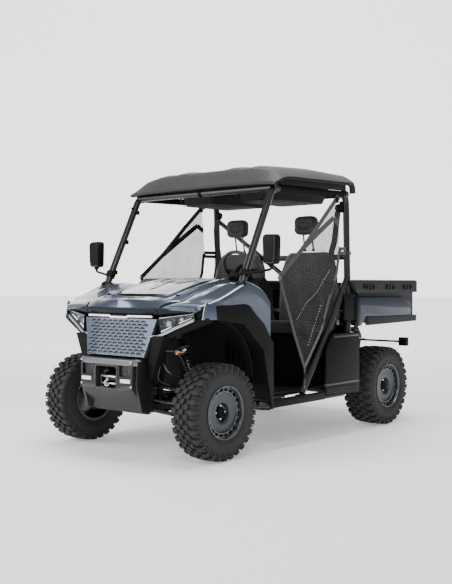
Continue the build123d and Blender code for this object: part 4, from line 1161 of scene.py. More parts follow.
def make_front():
    """Cheeks, bumper, marker lamps and winch."""
    softened("fascia", "rough_plastic", width=4)
    softened("bumper", "bumper", width=4, segments=3)
    softened("skid_plate", "skid", width=1.5)
    flare = softened("flares", "plastic", width=7, segments=4, smooth=64, shaped=tucked)
    flare.data.materials.append(FINISH["body"])
    flare.data.materials.append(FINISH["dark"])
    # Faces inside the arch and those towards the middle take the near-black inner finish: painted shade in the wheel
    # well.
    for face in flare.data.polygons:
        inwards = Vector((0, face.center.y - FRONT_AXLE_Y, face.center.z - TYRE_RADIUS * MM)).dot(face.normal) < -0.02
        if (inwards or abs(face.center.x) < 0.684) and face.center.z > 0.4:
            face.material_index = 2
        if face.center.y < FLARE_FRONT - 0.002 and abs(face.center.x) > 0.62 and face.center.z > 0.8:
            face.material_index = 1
    bar = Form()
    rows = []
    for x, back in [(-268, 26), (-247, 6)] + [(x, 0) for x in (-200, -100, 0, 100, 200)] + [(247, 6), (268, 26)]:
        rows.append(lengthwise(x, (-367 + back, 600), (-366.6 + back, 634), (-359 + back, 641), (-338 + back, 641),
            (-336 + back, 636), (-352 + back, 634), (-354 + back, 600)))
    bar.loft(rows)
    for side in (-1, 1):
        bar.prism(marks((247, -342, 641), (272, -330, 639), (273, -306, 638), (248, -306, 641), side=side),
            (0, 0, -0.012), 2)
        bar.prism(crosswise(-368.2, (103, 462), (230, 470), (235, 446), (103, 438), side=side), (0, 0.006, 0), 1)
    piece("bumper_bar", bar, ["steel", "skid", "silver"], bevel=2, segments=2)
    window = Form()
    frame_outline = [(-88, 450), (88, 450), (99, 462), (99, 577), (88, 589), (-88, 589), (-99, 577), (-99, 462)]
    rows = window.stepped(across_at, frame_outline, ((-13, -366), (-12, -369.5), (-3, -370.5), (1, -367), (2, -332)))
    window.grid([rows[-1], rows[0]], True, 0)
    piece("winch_window", window, ["skid"], smooth=36)
    lamp = Form()
    lamp.block((138, 232), (-369, -360), (488, 516), 1)
    rows = lamp.stepped(across_at, [(141, 514), (229, 514), (229, 490), (141, 490)], ((0, -360), (0, -373),
        (1.5, -374.6), (4, -374.8)))
    lamp.add(rows[-1], [[3, 2, 1, 0]])
    piece("marker_lights", lamp.mirrored(), ["marker", "dark"], "marker_lamps", bevel=1)
    wire = Form()
    for x in (132, -211):
        wire.tube(marks((x - 8, -352, 530), (x + 8, -349, 541)), 1.6, 5)
        wire.tube(marks((x + 8, -352, 530), (x - 8, -349, 541)), 1.6, 5)
    repeated("bumper_mesh", wire, "rows", "steel", **in_rows(6, (15.8, 0, 0), 7, (0, 0, 11)))
    backing = Form()
    for side in (-1, 1):
        backing.block((side * 122, side * 232), (-346, -343), (524, 616))
    backing.block((-96, 96), (-256, -250), (452, 588))
    backing.block((-262, 262), (-272, -246), (606, 668))
    piece("bumper_backing", backing, ["dark"], bevel=1)
    winch = Form()
    winch.lathe([(-62, 0), (-62, 44), (-56, 44), (-56, 24), (56, 24), (56, 44), (62, 44), (62, 0)], at(0, -275, 500),
        (1, 0, 0), 32)
    for turn in range(14):
        winch.lathe([(-52 + turn * 7.8 - 3.6, 27), (-52 + turn * 7.8, 30.5), (-52 + turn * 7.8 + 3.6, 27)],
            at(0, -275, 500), (1, 0, 0), 24, 1, True)
    for side in (-1, 1):
        winch.block((side * 60, side * 80), (-318, -232), (452, 548))
    winch.block((-78, 78), (-268, -205), (455, 463))
    for z in (474, 520):
        winch.tube(marks((-66, -338, z), (66, -338, z)), 8, 16, 2)
    for side in (-1, 1):
        winch.block((side * 66, side * 82), (-344, -331), (462, 532))
    hook = marks((0, -348, 500), (-14, -356, 490), (-22, -358, 474), (-10, -358, 461), (10, -358, 462),
        (18, -357, 476))
    winch.tube(bent(hook, 12, 5), 6.5, 12, 2)
    winch.tube(lengthwise(0, (-340, 498), (-352, 500), (-352, 514)), 9, 12, 2)
    winch.strap(marks((0, -353, 470), (0, -353, 438)), 16, 3, (1, 0, 0), 3)
    piece("winch_detail", winch, ["frame", "steel", "silver", "red"], "winch", bevel=1.5, smooth=38)
    bolts = Form().lathe([(-2, 0), (-2, 7), (4, 7), (5, 4), (5, 0)], at(-236, -367, 622), (0, -1, 0), 6)
    repeated("bumper_bolts", bolts, "rows", "chrome", **in_rows(2, (472, 0, 0), 2, (0, 0, -155)))


# Cage and roof
def make_cage():
    tubes = Form()
    side = marks((641, 515, 338), (641, 500, 480), (641, 405, 900), (647, 218, 1097), (647, 552, 1770),
        (647, 1459, 1790), (647, 1488, 900), (661, 1445, 338))
    hoop = bent(side, 75, 9)
    front = max(index for index, spot in enumerate(hoop) if spot.y < at(0, 640, 0).y)
    rear = min(index for index, spot in enumerate(hoop) if spot.y > at(0, 1400, 0).y and spot.z > 1.7)
    tubes.tube(hoop[:front + 1] + [at(647, 620, 1771.5)], 25, 20)
    # The roof side rails take the near-black inner finish: painted shade under the roof's edge.
    tubes.tube(marks((647, 615, 1771.4), (647, 1436, 1789.5)), 24.8, 20, 1)
    tubes.tube([at(647, 1430, 1789.4)] + hoop[rear:], 25, 20)
    tubes.tube(bent(marks((661, 872, 350), (647, 1222, 780), (647, 1485, 1170)), 300, 12), 25, 18)
    for x, station in ((641, 515), (661, 1445), (661, 869)):
        tubes.block((x - 30, x + 26), (station - 34, station + 34), (331, 341))
        for shift in (-22, 22):
            tubes.lathe([(0, 0), (0, 8), (7, 8), (8, 0)], at(x + 16, station + shift, 341), (0, 0, 1), 6)
    # Collars where the front hoop is joined to the roof rails.
    for station, z, run in ((575, 1770.5, (0, 1, 0.02)), (1436, 1789.5, (0, 1, 0.02))):
        tubes.lathe(barrel(20, 31, 25.5), at(647, station, z), run, 22, closed=True)
    tubes.mirrored()
    for station, z, radius in ((552, 1770, 22), (1459, 1790, 22), (1475, 1322, 22), (1488, 900, 22), (398, 935, 22)):
        tubes.tube(marks((-645, station, z), (645, station, z)), radius, 18)
    tubes.tube(marks((-647, 1463, 1661), (647, 1485, 778)), 19, 16)
    piece("cage_tubes", tubes, ["cage", "dark"], "cage", smooth=48)
    clamps = Form()
    for x, station, z in ((300, 1475, 1322), (-300, 1475, 1322), (0, 552, 1770), (330, 398, 935), (-330, 398, 935)):
        clamps.lathe(barrel(12, 27, 22.5), at(x, station, z), (1, 0, 0), 20, closed=True)
    # Tabs and thumb screws that hold the roof and the windscreen frame.
    for side in (-1, 1):
        for share in (0.16, 0.5, 0.84):
            station, z = 218 + (552 - 218) * share, 1097 + (1770 - 1097) * share
            clamps.block((side * 618, side * 626), (station + 8, station + 34), (z - 16, z + 16))
        clamps.lathe([(0, 0), (0, 11), (12, 11), (14, 0)], at(side * 626, 460, 1690), (side * -1, 0, 0), 14)
    piece("cage_clamps", clamps, ["dark"], bevel=1)


ROOF_SECTIONS = [(514, 704, 1806, 1813, 1818, 1821), (596, 702, 1842, 1900, 1922, 1926), (700, 700, 1860, 1925, 1946,
    1952), (1140, 694, 1872, 1944, 1972, 1984), (1520, 684, 1882, 1945, 1968, 1976)]


def make_roof():
    rows = []
    steps, across = 64, 88
    for step in range(steps + 1):
        share = step / steps * (len(ROOF_SECTIONS) - 1)
        low = min(int(share), len(ROOF_SECTIONS) - 2)
        straight = [before + (after - before) * (share - low) for before, after in zip(*ROOF_SECTIONS[low:low + 2])]
        station, half, edge, haunch, rail, crown = [(a + b) / 2 for a, b in zip(faired(ROOF_SECTIONS, share),
            straight)]
        spots = [(0, crown), (0.3, crown), (0.6, rail), (0.86, haunch), (1, edge)]
        top, under = [], []
        for part in range(across + 1):
            out = abs(2 * part / across - 1)
            x = half * (2 * part / across - 1)
            z = blurred(spots, out) if out < 0.96 else between(spots, out, 1)
            fade = ease(station, 560, 680) * (1 - ease(station, 1440, 1500))
            # Raised bands along the roof, with a sunk panel between them.
            z += fade * (6 * (ease(out, 0.27, 0.3) - ease(out, 0.4, 0.43)) + 7 * (ease(out, 0.57, 0.6) - ease(out,
                0.72, 0.75)))
            z -= fade * 5 * (1 - ease(out, 0.2, 0.25))
            z -= 3.5 * ease(out, 0.965, 1)
            top.append(at(x, station, z))
            under.append(at(x * 0.99, station, z - 18))
        rows.append(top + under[::-1])
    piece("roof_shell", Form().loft(rows), ["roof"], "roof", smooth=30)
    lip = Form()
    rows = []
    for part in range(41):
        x = 700 * (part / 20 - 1)
        z = 1806 + (1819 - 1806) * (1 - abs(x / 700) ** 4)
        rows.append(lengthwise(x, (515.5, z - 1), (516, z - 14), (524, z - 21), (548, z - 20), (552, z - 10),
            (548, z)))
    lip.loft(rows)
    for side in (-1, 1):
        edge = []
        for step in range(31):
            station = 525 + (1512 - 525) * step / 30
            half, z = between(ROOF_SECTIONS, station, 1), between(ROOF_SECTIONS, station, 2)
            edge.append(crosswise(station, (half - 1, z - 2), (half - 1, z - 16), (half - 12, z - 22),
                (half - 34, z - 20), (half - 34, z - 8), side=side))
        lip.loft(edge)
        drop = []
        for station, z, over, back in ((1440, 1873, 1, 0), (1490, 1871, 0.98, 0.15), (1516, 1862, 0.75, 0.65),
                (1526, 1838, 0.2, 0.98), (1528, 1802, 0, 1)):
            drop.append([at(side * x, station + turn * back * 9, z + turn * over * 9) for x, turn in ((685, 1),
                (685, -1), (640, -1), (640, 1))])
        lip.loft(drop, 1)
        # A thin grey tube under the roof's edge: a painted highlight, standing for the lit line of the cage rail.
        lip.tube(marks((676, 590, 1836), (680, 700, 1851), (674, 1140, 1861), (668, 1500, 1868), side=side), 6.5, 10,
            2)
    piece("roof_lip", lip, ["pod", "roof", "skid"], smooth=36)
    softened("roof_liner", "pod", width=16, segments=4)
    rib = Form().prism(lengthwise(100, (860, 1729), (860, 1723.5), (1380, 1723.5), (1380, 1729)), (0.010, 0, 0))
    repeated("pod_ribs", rib, "rows", "pod", bevel=2, **in_rows(2, (-570, 0, 0), 10, (37.5, 0, 0)))
    front = Form().prism(lengthwise(100, (812, 1838), (800, 1838), (838, 1740), (850, 1740)), (0.012, 0, 0))
    repeated("pod_front_ribs", front, "rows", "pod", bevel=2, **in_rows(2, (-570, 0, 0), 10, (37.5, 0, 0)))


# Cab
def loaf(form, spine, slot=0, power=3.4, sides=44):
    """A soft closed form: along a spine of (centre, half width along X, half thickness vector, pinch)."""
    rows = []
    for centre, half, thick, shape in spine:
        row = []
        for step in range(sides):
            turn = 2 * pi * step / sides
            c, s = cos(turn), sin(turn)
            u = abs(c) ** (2 / power) * (1 if c >= 0 else -1)
            v = abs(s) ** (2 / power) * (1 if s >= 0 else -1)
            row.append(centre + Vector((half * u, 0, 0)) + thick * v * shape(u, v))
        rows.append(row)
    return form.grid(rows, True, slot, True)


def filled(thing, swell):
    """The cover pushed out by its filling: a short cloth simulation under pressure, then made permanent."""
    fine = thing.modifiers.new("even", "REMESH")
    fine.mode, fine.voxel_size = "VOXEL", 0.0095
    baked(thing)
    rest = [vertex.co.copy() for vertex in thing.data.vertices]
    cloth = thing.modifiers.new("filling", "CLOTH")
    for key, value in (("quality", 4), ("mass", 0.3), ("use_pressure", True), ("uniform_pressure_force", 4.0),
            ("tension_stiffness", 18), ("compression_stiffness", 18)):
        setattr(cloth.settings, key, value)
    cloth.settings.effector_weights.gravity = 0.0
    cloth.collision_settings.use_collision = False
    cloth.point_cache.frame_start, cloth.point_cache.frame_end = 1, 16
    scene = bpy.context.scene
    for step in range(1, 15):
        scene.frame_set(step)
    baked(thing)
    scene.frame_set(1)
    for vertex, before in zip(thing.data.vertices, rest):
        move = vertex.co - before
        if move.length > swell:
            vertex.co = before + move.normalized() * swell
    ease_out = thing.modifiers.new("smooth", "SMOOTH")
    ease_out.factor, ease_out.iterations = 0.5, 2
    baked(thing)
    thing.data.shade_smooth()
    return thing


def soft_piece(name, form, finishes, stands_for, swell):
    thing = filled(link(name, meshed(name, form, 1e-5), finishes), swell)
    thing.data.shade_smooth()
    settle(thing, "chassis", stands_for)
    return thing


SEAT_X = 343
# Half the width and half the height of a headrest, and its middle.
HEADREST_HALF, HEADREST_RISE, HEADREST_Z = 98, 70, 1567


def back_spine(x):
    """Heights up a seat back, with its half width and thickness, and the pinch of its sewn lines."""
    table = [(752, 236, 1374, 24), (756, 252, 1375, 34), (775, 262, 1378, 42), (850, 266, 1383, 45),
        (950, 268, 1388, 46), (1003, 268, 1391, 45), (1012, 267, 1391.5, 40), (1021, 268, 1392, 45),
        (1100, 268, 1396, 46), (1180, 267, 1400, 46), (1195, 264, 1401, 45), (1204, 262, 1401.5, 40),
        (1213, 259, 1402, 45), (1280, 236, 1405, 43), (1330, 214, 1407, 38), (1356, 198, 1408, 31),
        (1369, 184, 1409, 22), (1373, 168, 1409, 12)]
    spine = []
    for z, half, station, thick in table:
        def shape(u, v, z=z):
            bolster = ease(abs(u), 0.6, 0.78) * 0.16 * ease(z, 800, 900) * (1 - ease(z, 1180, 1330))
            seam = exp(-((abs(u) - 0.6) / 0.035) ** 2) * 0.16
            return (1 + bolster - seam) if v < 0 else 1.0
        spine.append((at(x, station, z), half * MM, Vector((0, thick * MM, 0)), shape))
    return spine


def cushion_spine(x):
    table = [(992, 250, 795, 26), (996, 262, 794, 38), (1010, 267, 793, 43), (1050, 268, 791, 43),
        (1120, 268, 789, 42), (1128, 268, 788.5, 37), (1136, 268, 788, 42), (1220, 268, 786, 41),
        (1228, 268, 786, 36), (1236, 268, 786, 41), (1310, 267, 785, 40), (1332, 262, 785, 36), (1341, 250, 785, 26)]
    spine = []
    for station, half, z, thick in table:
        def shape(u, v):
            bolster = ease(abs(u), 0.62, 0.8) * 0.14
            seam = exp(-((abs(u) - 0.62) / 0.035) ** 2) * 0.14
            return (1 + bolster - seam) if v > 0 else 1.0
        spine.append((at(x, station, z), half * MM, Vector((0, 0, thick * MM)), shape))
    return spine


def make_seats(sizes):
    for side, label in SIDES:
        x = side * SEAT_X
        form = loaf(Form(), back_spine(x), sides=72)
        soft_piece("seat_back_cover_" + label, form, ["seat"], "seat_backs", sizes.cushion_swell)
        form = loaf(Form(), cushion_spine(x), sides=64)
        soft_piece("seat_cushion_cover_" + label, form, ["seat"], "seat_cushions", sizes.cushion_swell)
    trim = Form()
    for side in (-1, 1):
        x = side * SEAT_X
        # Moulded shell behind the back, and the seat's base rim.
        rows = []
        for z, half, station in ((790, 240, 1426), (900, 250, 1436), (1100, 252, 1444), (1240, 240, 1450),
                (1330, 205, 1452)):
            rows.append([at(x + half * share, station - 14 * abs(share) ** 3, z) for share in (-1, -0.8, -0.4, 0, 0.4,
                0.8, 1)] + [at(x + half * share * 0.97, station - 10 - 14 * abs(share) ** 3, z) for share in (1, 0.8,
                0.4, 0, -0.4, -0.8, -1)])
        trim.loft(rows)
        trim.block((x - 255, x + 255), (1000, 1330), (743, 756))
    piece("seat_shells", trim, ["plastic"], bevel=3)
    for side, label in SIDES:
        x = side * SEAT_X
        for z, half, station in ((1012, 250, 1349), (1204, 240, 1358)):
            for shift in (-7, 7):
                route = [at(x + half * share, station + 22 * abs(share) ** 6
                    - 6 * exp(-((abs(share) - 0.82) / 0.14) ** 2), z + shift) for share in [part / 24 * 2 - 1
                    for part in range(25)]]
                beads("stitches_%s_%d_%d" % (label, z, shift + 7), route, 9, 5.5, 0.9, "thread")
    heads = Form()
    for side, label in SIDES:
        x = side * SEAT_X
        outline = [(98, 40), (90, 56), (68, 70), (-68, 70), (-90, 56), (-98, 40), (-98, -40), (-90, -56), (-68, -70),
            (68, -70), (90, -56), (98, -40)]
        smooth = []
        for index in range(len(outline)):
            here, after = Vector(outline[index]), Vector(outline[(index + 1) % len(outline)])
            smooth += [here, here.lerp(after, 0.5)]
        rows = []
        for inset, station in ((30, 1406.5), (10, 1406), (2, 1400), (0, 1386), (0, 1362), (1, 1350), (6, 1344),
                (14, 1342.5), (24, 1343), (30, 1345)):
            rows.append([at(x + p[0] * (1 - inset / HEADREST_HALF), station,
                HEADREST_Z + p[1] * (1 - inset / HEADREST_RISE)) for p in smooth])
        turns = [atan2(p[1] / HEADREST_RISE, p[0] / HEADREST_HALF) for p in smooth]
        for wide, high, station in ((0.62, 0.52, 1347), (0.58, 0.47, 1351), (0.5, 0.4, 1355), (0.3, 0.2, 1357)):
            rows.append([at(x + HEADREST_HALF * wide * cos(turn), station, HEADREST_Z + HEADREST_RISE * high * sin(
                turn)) for turn in turns])
        form = Form().loft(rows)
        soft_piece("headrest_pad_" + label, form, ["bolster"], "headrests", 0.004)
        for dx in (-40, 40):
            heads.tube(marks((x + dx, 1392, 1499), (x + dx, 1415, 1376)), 7, 12)
            heads.lathe([(0, 7.5), (0, 14), (12, 12), (16, 7.5)], at(x + dx, 1415, 1372), (0, -0.18, 1), 16, 1, True)
    piece("headrest_posts", heads, ["steel", "plastic"], smooth=50)


def make_belts():
    straps, hard = Form(), Form()
    for side in (-1, 1):
        hard.lathe([(-22, 0), (-24, 24), (-20, 31), (20, 31), (24, 24), (22, 0)], at(side * 606, 1437, 1690),
            (0, 1, 0), 24)
        hard.block((side * 588, side * 632), (1412, 1448), (1655, 1672))
        hard.block((side * 612, side * 634), (1425, 1450), (1672, 1740))
        run = marks((604, 1415, 1664), (600, 1402, 1560), (588, 1396, 1440), (560, 1392, 1350), (590, 1388, 1180),
            (618, 1380, 1000), (624, 1370, 860), side=side)
        straps.strap(bent(run, 120, 5), 46, 1.8, (1, 0.35, 0))
        hard.block((side * 598, side * 640), (1352, 1384), (812, 860), 1)
        # Buckle between the seats.
        straps.strap(marks((62, 1330, 830), (66, 1306, 900), side=side), 30, 3, (1, 0, 0))
        hard.block((side * 50, side * 84), (1290, 1306), (895, 955))
        hard.block((side * 56, side * 78), (1286, 1290), (925, 948), 2)
    piece("belt_webbing", straps, ["webbing"], smooth=30)
    piece("belt_fittings", hard, ["plastic", "steel", "red"], bevel=2)


def make_nets():
    """The side nets: a stretched cloth, its bound edges, lacing and straps."""
    front = [(599, 1167), (640, 1074), (690, 958), (741, 842), (790, 738), (842, 632), (892, 531)]
    rear = [(1296, 1736), (1322, 1560), (1330, 1369), (1303, 1205), (1185, 974), (1096, 784), (892, 531)]
    upper = [(599, 1167), (720, 1262), (851, 1362), (980, 1470), (1120, 1590), (1296, 1736)]
    for side, label in SIDES:
        def wave(station, z):
            return (3.2 * sin(station / 37 + z / 91) + 2.4 * sin(z / 29 - station / 53)) * ease(z, 560, 700)
        rows = []
        down = 46
        for step in range(down + 1):
            s = step / down * 0.985
            a, b = Vector(faired(front, s * 6)), Vector(faired(rear, s * 6))
            row = []
            for part in range(33):
                t = part / 32
                top = Vector(faired(upper, t * 5))
                chord = Vector(upper[0]).lerp(Vector(upper[-1]), t)
                spot = a.lerp(b, t) + (top - chord) * (1 - s) ** 3
                row.append(at(side * (670.5 + wave(spot.x, spot.y)), spot.x, spot.y))
            rows.append(row)
        cloth = Form().grid(rows)
        net = piece("net_cloth_" + label, cloth, ["net"], "net_" + label, smooth=80, outward=False)
        bands = Form()
        def band(route, width, lift=3.0, bend=30):
            bands.strap(bent([at(side * (671 + lift + wave(s, z) * 0.6), s, z) for s, z in route], bend, 4), width,
                2.4, (0, 0.7, -0.7) if abs(route[-1][0] - route[0][0]) > 200 and route[-1][1] > route[0][1]
                else (0, 1, 0.2))
        band(front, 26)
        band(rear[2:], 30)
        band([(599, 1167), (851, 1355), (1080, 1560), (1318, 1768)], 36, 4.5)
        band([(851, 1355), (1040, 1474), (1251, 1602)], 40, 2.0)
        band([(892, 540), (893, 470), (891, 384)], 24, 3.5)
        band([(1251, 1602), (1322, 1560)], 40, 4.0)
        band([(1330, 1369), (1345, 1352)], 28, 4.0)
        for z in (1380, 1348):
            bands.strap(marks((670, 1330, z), (670, 1400, z), (650, 1462, z), side=side), 26, 2.4, (0, 0, 1))
        piece("net_bands_" + label, bands, ["webbing"], smooth=30)
        fkit = Form()
        for station, z in ((1318, 1752), (1470, 1348), (891, 392), (604, 1164)):
            fkit.block((side * 664, side * 680), (station - 15, station + 15), (z - 13, z + 13))
        for station, z in ((892, 470), (1300, 1735)):
            fkit.block((side * 670, side * 681), (station - 17, station + 17), (z - 20, z + 20), 1)
        piece("net_buckles_" + label, fkit, ["steel", "plastic"], bevel=2)
        for number, route in enumerate(([(1296, 1196), (1180, 965), (1092, 777), (900, 548)],
                [(1190, 1215), (1040, 1060), (915, 984), (798, 873)], [(1085, 960), (1010, 820), (930, 690)])):
            line = [at(side * (675.5 + wave(s, z)), s, z) for s, z in route]
            beads("net_lacing_%s_%d" % (label, number), bent(line, 200, 6), 21 if number else 17, 9, 2.1, "thread")


RAKE = radians(38)
WHEEL_AXIS = Vector((0, cos(RAKE), sin(RAKE)))


def make_controls():
    centre = at(350, 610, 1215)
    across, up = Vector((1, 0, 0)), Vector((0, -sin(RAKE), cos(RAKE)))
    wheel = Form()
    turns = [2 * pi * step / 64 for step in range(64)]
    wheel.tube([centre + (across * cos(turn) + up * sin(turn)) * 0.159 for turn in turns],
        [14.2 if abs(cos(turn)) > 0.6 else 12.8 for turn in turns], 16, 0, True)
    wheel.lathe([(-48, 0), (-48, 30), (-20, 32), (-16, 50), (2, 52), (8, 44), (10, 0)], centre, WHEEL_AXIS, 32, 1)
    for turn in (0, pi, -pi / 2):
        out = across * cos(turn) + up * sin(turn)
        flat = WHEEL_AXIS.cross(out)
        rows = []
        for reach, half, lift in ((0.03, 0.026, 0.0), (0.07, 0.019, -0.002), (0.115, 0.014, -0.002),
                (0.152, 0.017, 0.0)):
            base = centre + out * reach + WHEEL_AXIS * lift
            rows.append([base + flat * half - WHEEL_AXIS * 0.012, base + flat * half * 0.8, base - flat * half * 0.8,
                base - flat * half - WHEEL_AXIS * 0.012])
        wheel.loft(rows, 1)
        if turn != -pi / 2:
            spot = centre + out * 0.088
            wheel.prism([spot + out * a + flat * b - WHEEL_AXIS * 0.001 for a, b in ((-0.014, -0.009),
                (0.014, -0.008), (0.014, 0.008), (-0.014, 0.009))], WHEEL_AXIS * 0.004, 2)
    piece("steering_wheel_rim", wheel, ["bolster", "plastic", "dark"], "steering_wheel", body="steering_wheel",
        smooth=45)
    stitched = [centre + (across * cos(t) + up * sin(t)) * 0.1445 for t in (2 * pi * s / 60 for s in range(60))]
    beads("wheel_stitches", stitched, 8, 5, 0.8, "thread", "steering_wheel", True)
    softened("dash", "plastic", width=8, segments=3)
    softened("steering_column", "plastic", width=2)
    fit = Form()
    fit.lathe([(-50, 40), (-58, 49.6), (-75, 52.8), (-120, 49.6), (-130, 32), (-50, 24)], centre, WHEEL_AXIS, 28, 0,
        True)
    # Instrument pod, switches and grab bar on the dash.
    fit.prism(marks((262, 556, 1150), (438, 556, 1150), (430, 548, 1204), (410, 545, 1216), (290, 545, 1216),
        (270, 548, 1204)), (0, 0.052, 0))
    fit.prism(crosswise(597, (275, 1158), (425, 1158), (418, 1198), (404, 1208), (296, 1208), (282, 1198)),
        (0, 0.013, 0), 1)
    for index in range(6):
        fit.prism(marks((-52 + index * 21, 651, 985), (-36 + index * 21, 651, 985), (-36 + index * 21, 648, 1018),
            (-52 + index * 21, 648, 1018)), (0, 0.008, 0), 1)
    for x in (-430, -110, 120, 540):
        fit.prism(marks((x - 32, 640, 1050), (x + 32, 640, 1050), (x + 32, 636, 1078), (x - 32, 636, 1078)),
            (0, 0.012, 0), 1)
    fit.tube(bent(marks((-470, 630, 1100), (-470, 690, 1120), (-230, 690, 1120), (-230, 630, 1100)), 40, 6), 12, 14,
        2)
    fit.prism(marks((-480, 650, 930), (-200, 650, 930), (-200, 644, 1035), (-480, 644, 1035)), (0, 0.007, 0))
    # Selector lever and pedals.
    fit.tube(marks((175, 700, 1010), (178, 712, 1090)), 8, 12, 2)
    fit.lathe([(-20, 0), (-20, 16), (0, 21), (18, 17), (24, 0)], at(179, 716, 1105), (0, 0.1, 1), 18)
    for x, wide in ((300, 34), (390, 27)):
        fit.prism(marks((x - wide, 492, 520), (x + wide, 492, 520), (x + wide, 470, 590), (x - wide, 470, 590)),
            (0, 0.01, 0.004), 3)
        fit.tube(marks((x, 490, 580), (x, 470, 700)), 7, 10, 2)
    piece("dash_fittings", fit, ["plastic", "screen", "steel", "floor"], bevel=3)
    rib = Form().prism(crosswise(640, (-560, 369.5), (-552, 369.5), (-552, 374), (-560, 374)), (0, 0.28, 0))
    repeated("floor_ribs", rib, "rows", "floor", bevel=1, **in_rows(15, (30, 0, 0), 2, (700, 0, 0)))


def make_mirrors():
    shell = Form()
    for side in (-1, 1):
        outline = [(55, 72), (50, 88), (38, 96), (-40, 97), (-51, 90), (-55, 76), (-50, -78), (-45, -91), (-34, -97),
            (34, -97), (46, -91), (51, -78)]
        spots = [(p[0] * side, p[1]) for p in outline]
        def ring(scale, station, shift=0.0):
            return [at(side * 840 + x * scale, station, 1342 + z * scale + shift) for x, z in spots]
        rows = [ring(0.62, 262), ring(0.86, 263.5), ring(0.95, 268), ring(1.0, 279), ring(1.0, 314), ring(0.98, 321),
            ring(0.94, 323)]
        shell.grid(rows, True)
        shell.add(rows[0], [list(range(12))])
        shell.grid([ring(0.94, 323), ring(0.91, 319), ring(0.9, 318)], True, 1)
        shell.add(ring(0.9, 318), [list(range(12))], 1)
        edge = crosswise(264, (874, 1270), (883, 1282), (887, 1408), (880, 1424), side=side)
        shell.tube(bent(edge, 20, 4), 4, 8, 2)
        shell.tube(bent(marks((797, 266, 1256), (868, 266, 1253), (880, 268, 1268), side=side), 14, 4), 4, 8, 2)
        shell.tube(bent(marks((840, 292, 1250), (840, 292, 1212), (735, 262, 1196), (676, 243, 1187), side=side), 40,
            7), 8.5, 14)
        shell.lathe(barrel(20, 36, 25.5), at(side * 647, 262, 1188), at(0, 552, 1770) - at(0, 218, 1097), 22, 0, True)
        shell.lathe([(0, 0), (0, 18), (18, 18), (22, 0)], at(side * 840, 292, 1228), (0, 0, 1), 16)
    piece("mirror_housings", shell, ["plastic", "glass_mirror", "skid"], "mirrors", smooth=40)


def make_sides():
    softened("side_panels", "plastic", width=5, segments=3)
    softened("seat_base", "plastic", width=8, segments=2)
    softened("floor_pan", "floor", width=3)
    softened("firewall", "dark", width=2)
    trim = Form()
    # Rocker trim, and the edge of the step.
    trim.prism(crosswise(500, (700, 286), (706, 300), (706, 336), (696, 344), (684, 344), (684, 286)), (0, 0.6, 0))
    trim.prism(crosswise(1106, (690, 380), (707, 380), (709, 395), (690, 399)), (0, 0.445, 0), 1)
    trim.prism(crosswise(1214, (704, 742), (708.5, 742), (708.5, 728), (704, 725)), (0, 0.335, 0), 1)
    piece("rocker_trim", trim.mirrored(), ["plastic", "skid"], bevel=3)
    stud = Form().prism(lengthwise(705, (1118, 350), (1130, 350), (1127, 357), (1121, 357)), (0.005, 0, 0))
    slat = Form().prism(crosswise(1400, (676, 866), (682, 866), (690, 884), (684, 884)), (0, 0.115, 0))
    for name, one, finish, bevel, steps in (
            ("step_tread_", stud, "skid", 0.8, in_rows(28, (0, 15, 0), 3, (0, 0, -13), (0, 7.5, 0))),
            ("intake_slats_", slat, "dark", 1, in_rows(1, (0, 0, 0), 7, (0, 0, 23)))):
        for side, label in SIDES:
            form = Form().add([(side * x, y, z) for x, y, z in one.points], one.faces)
            repeated(name + label, form, "rows", finish, bevel=bevel, **steps)


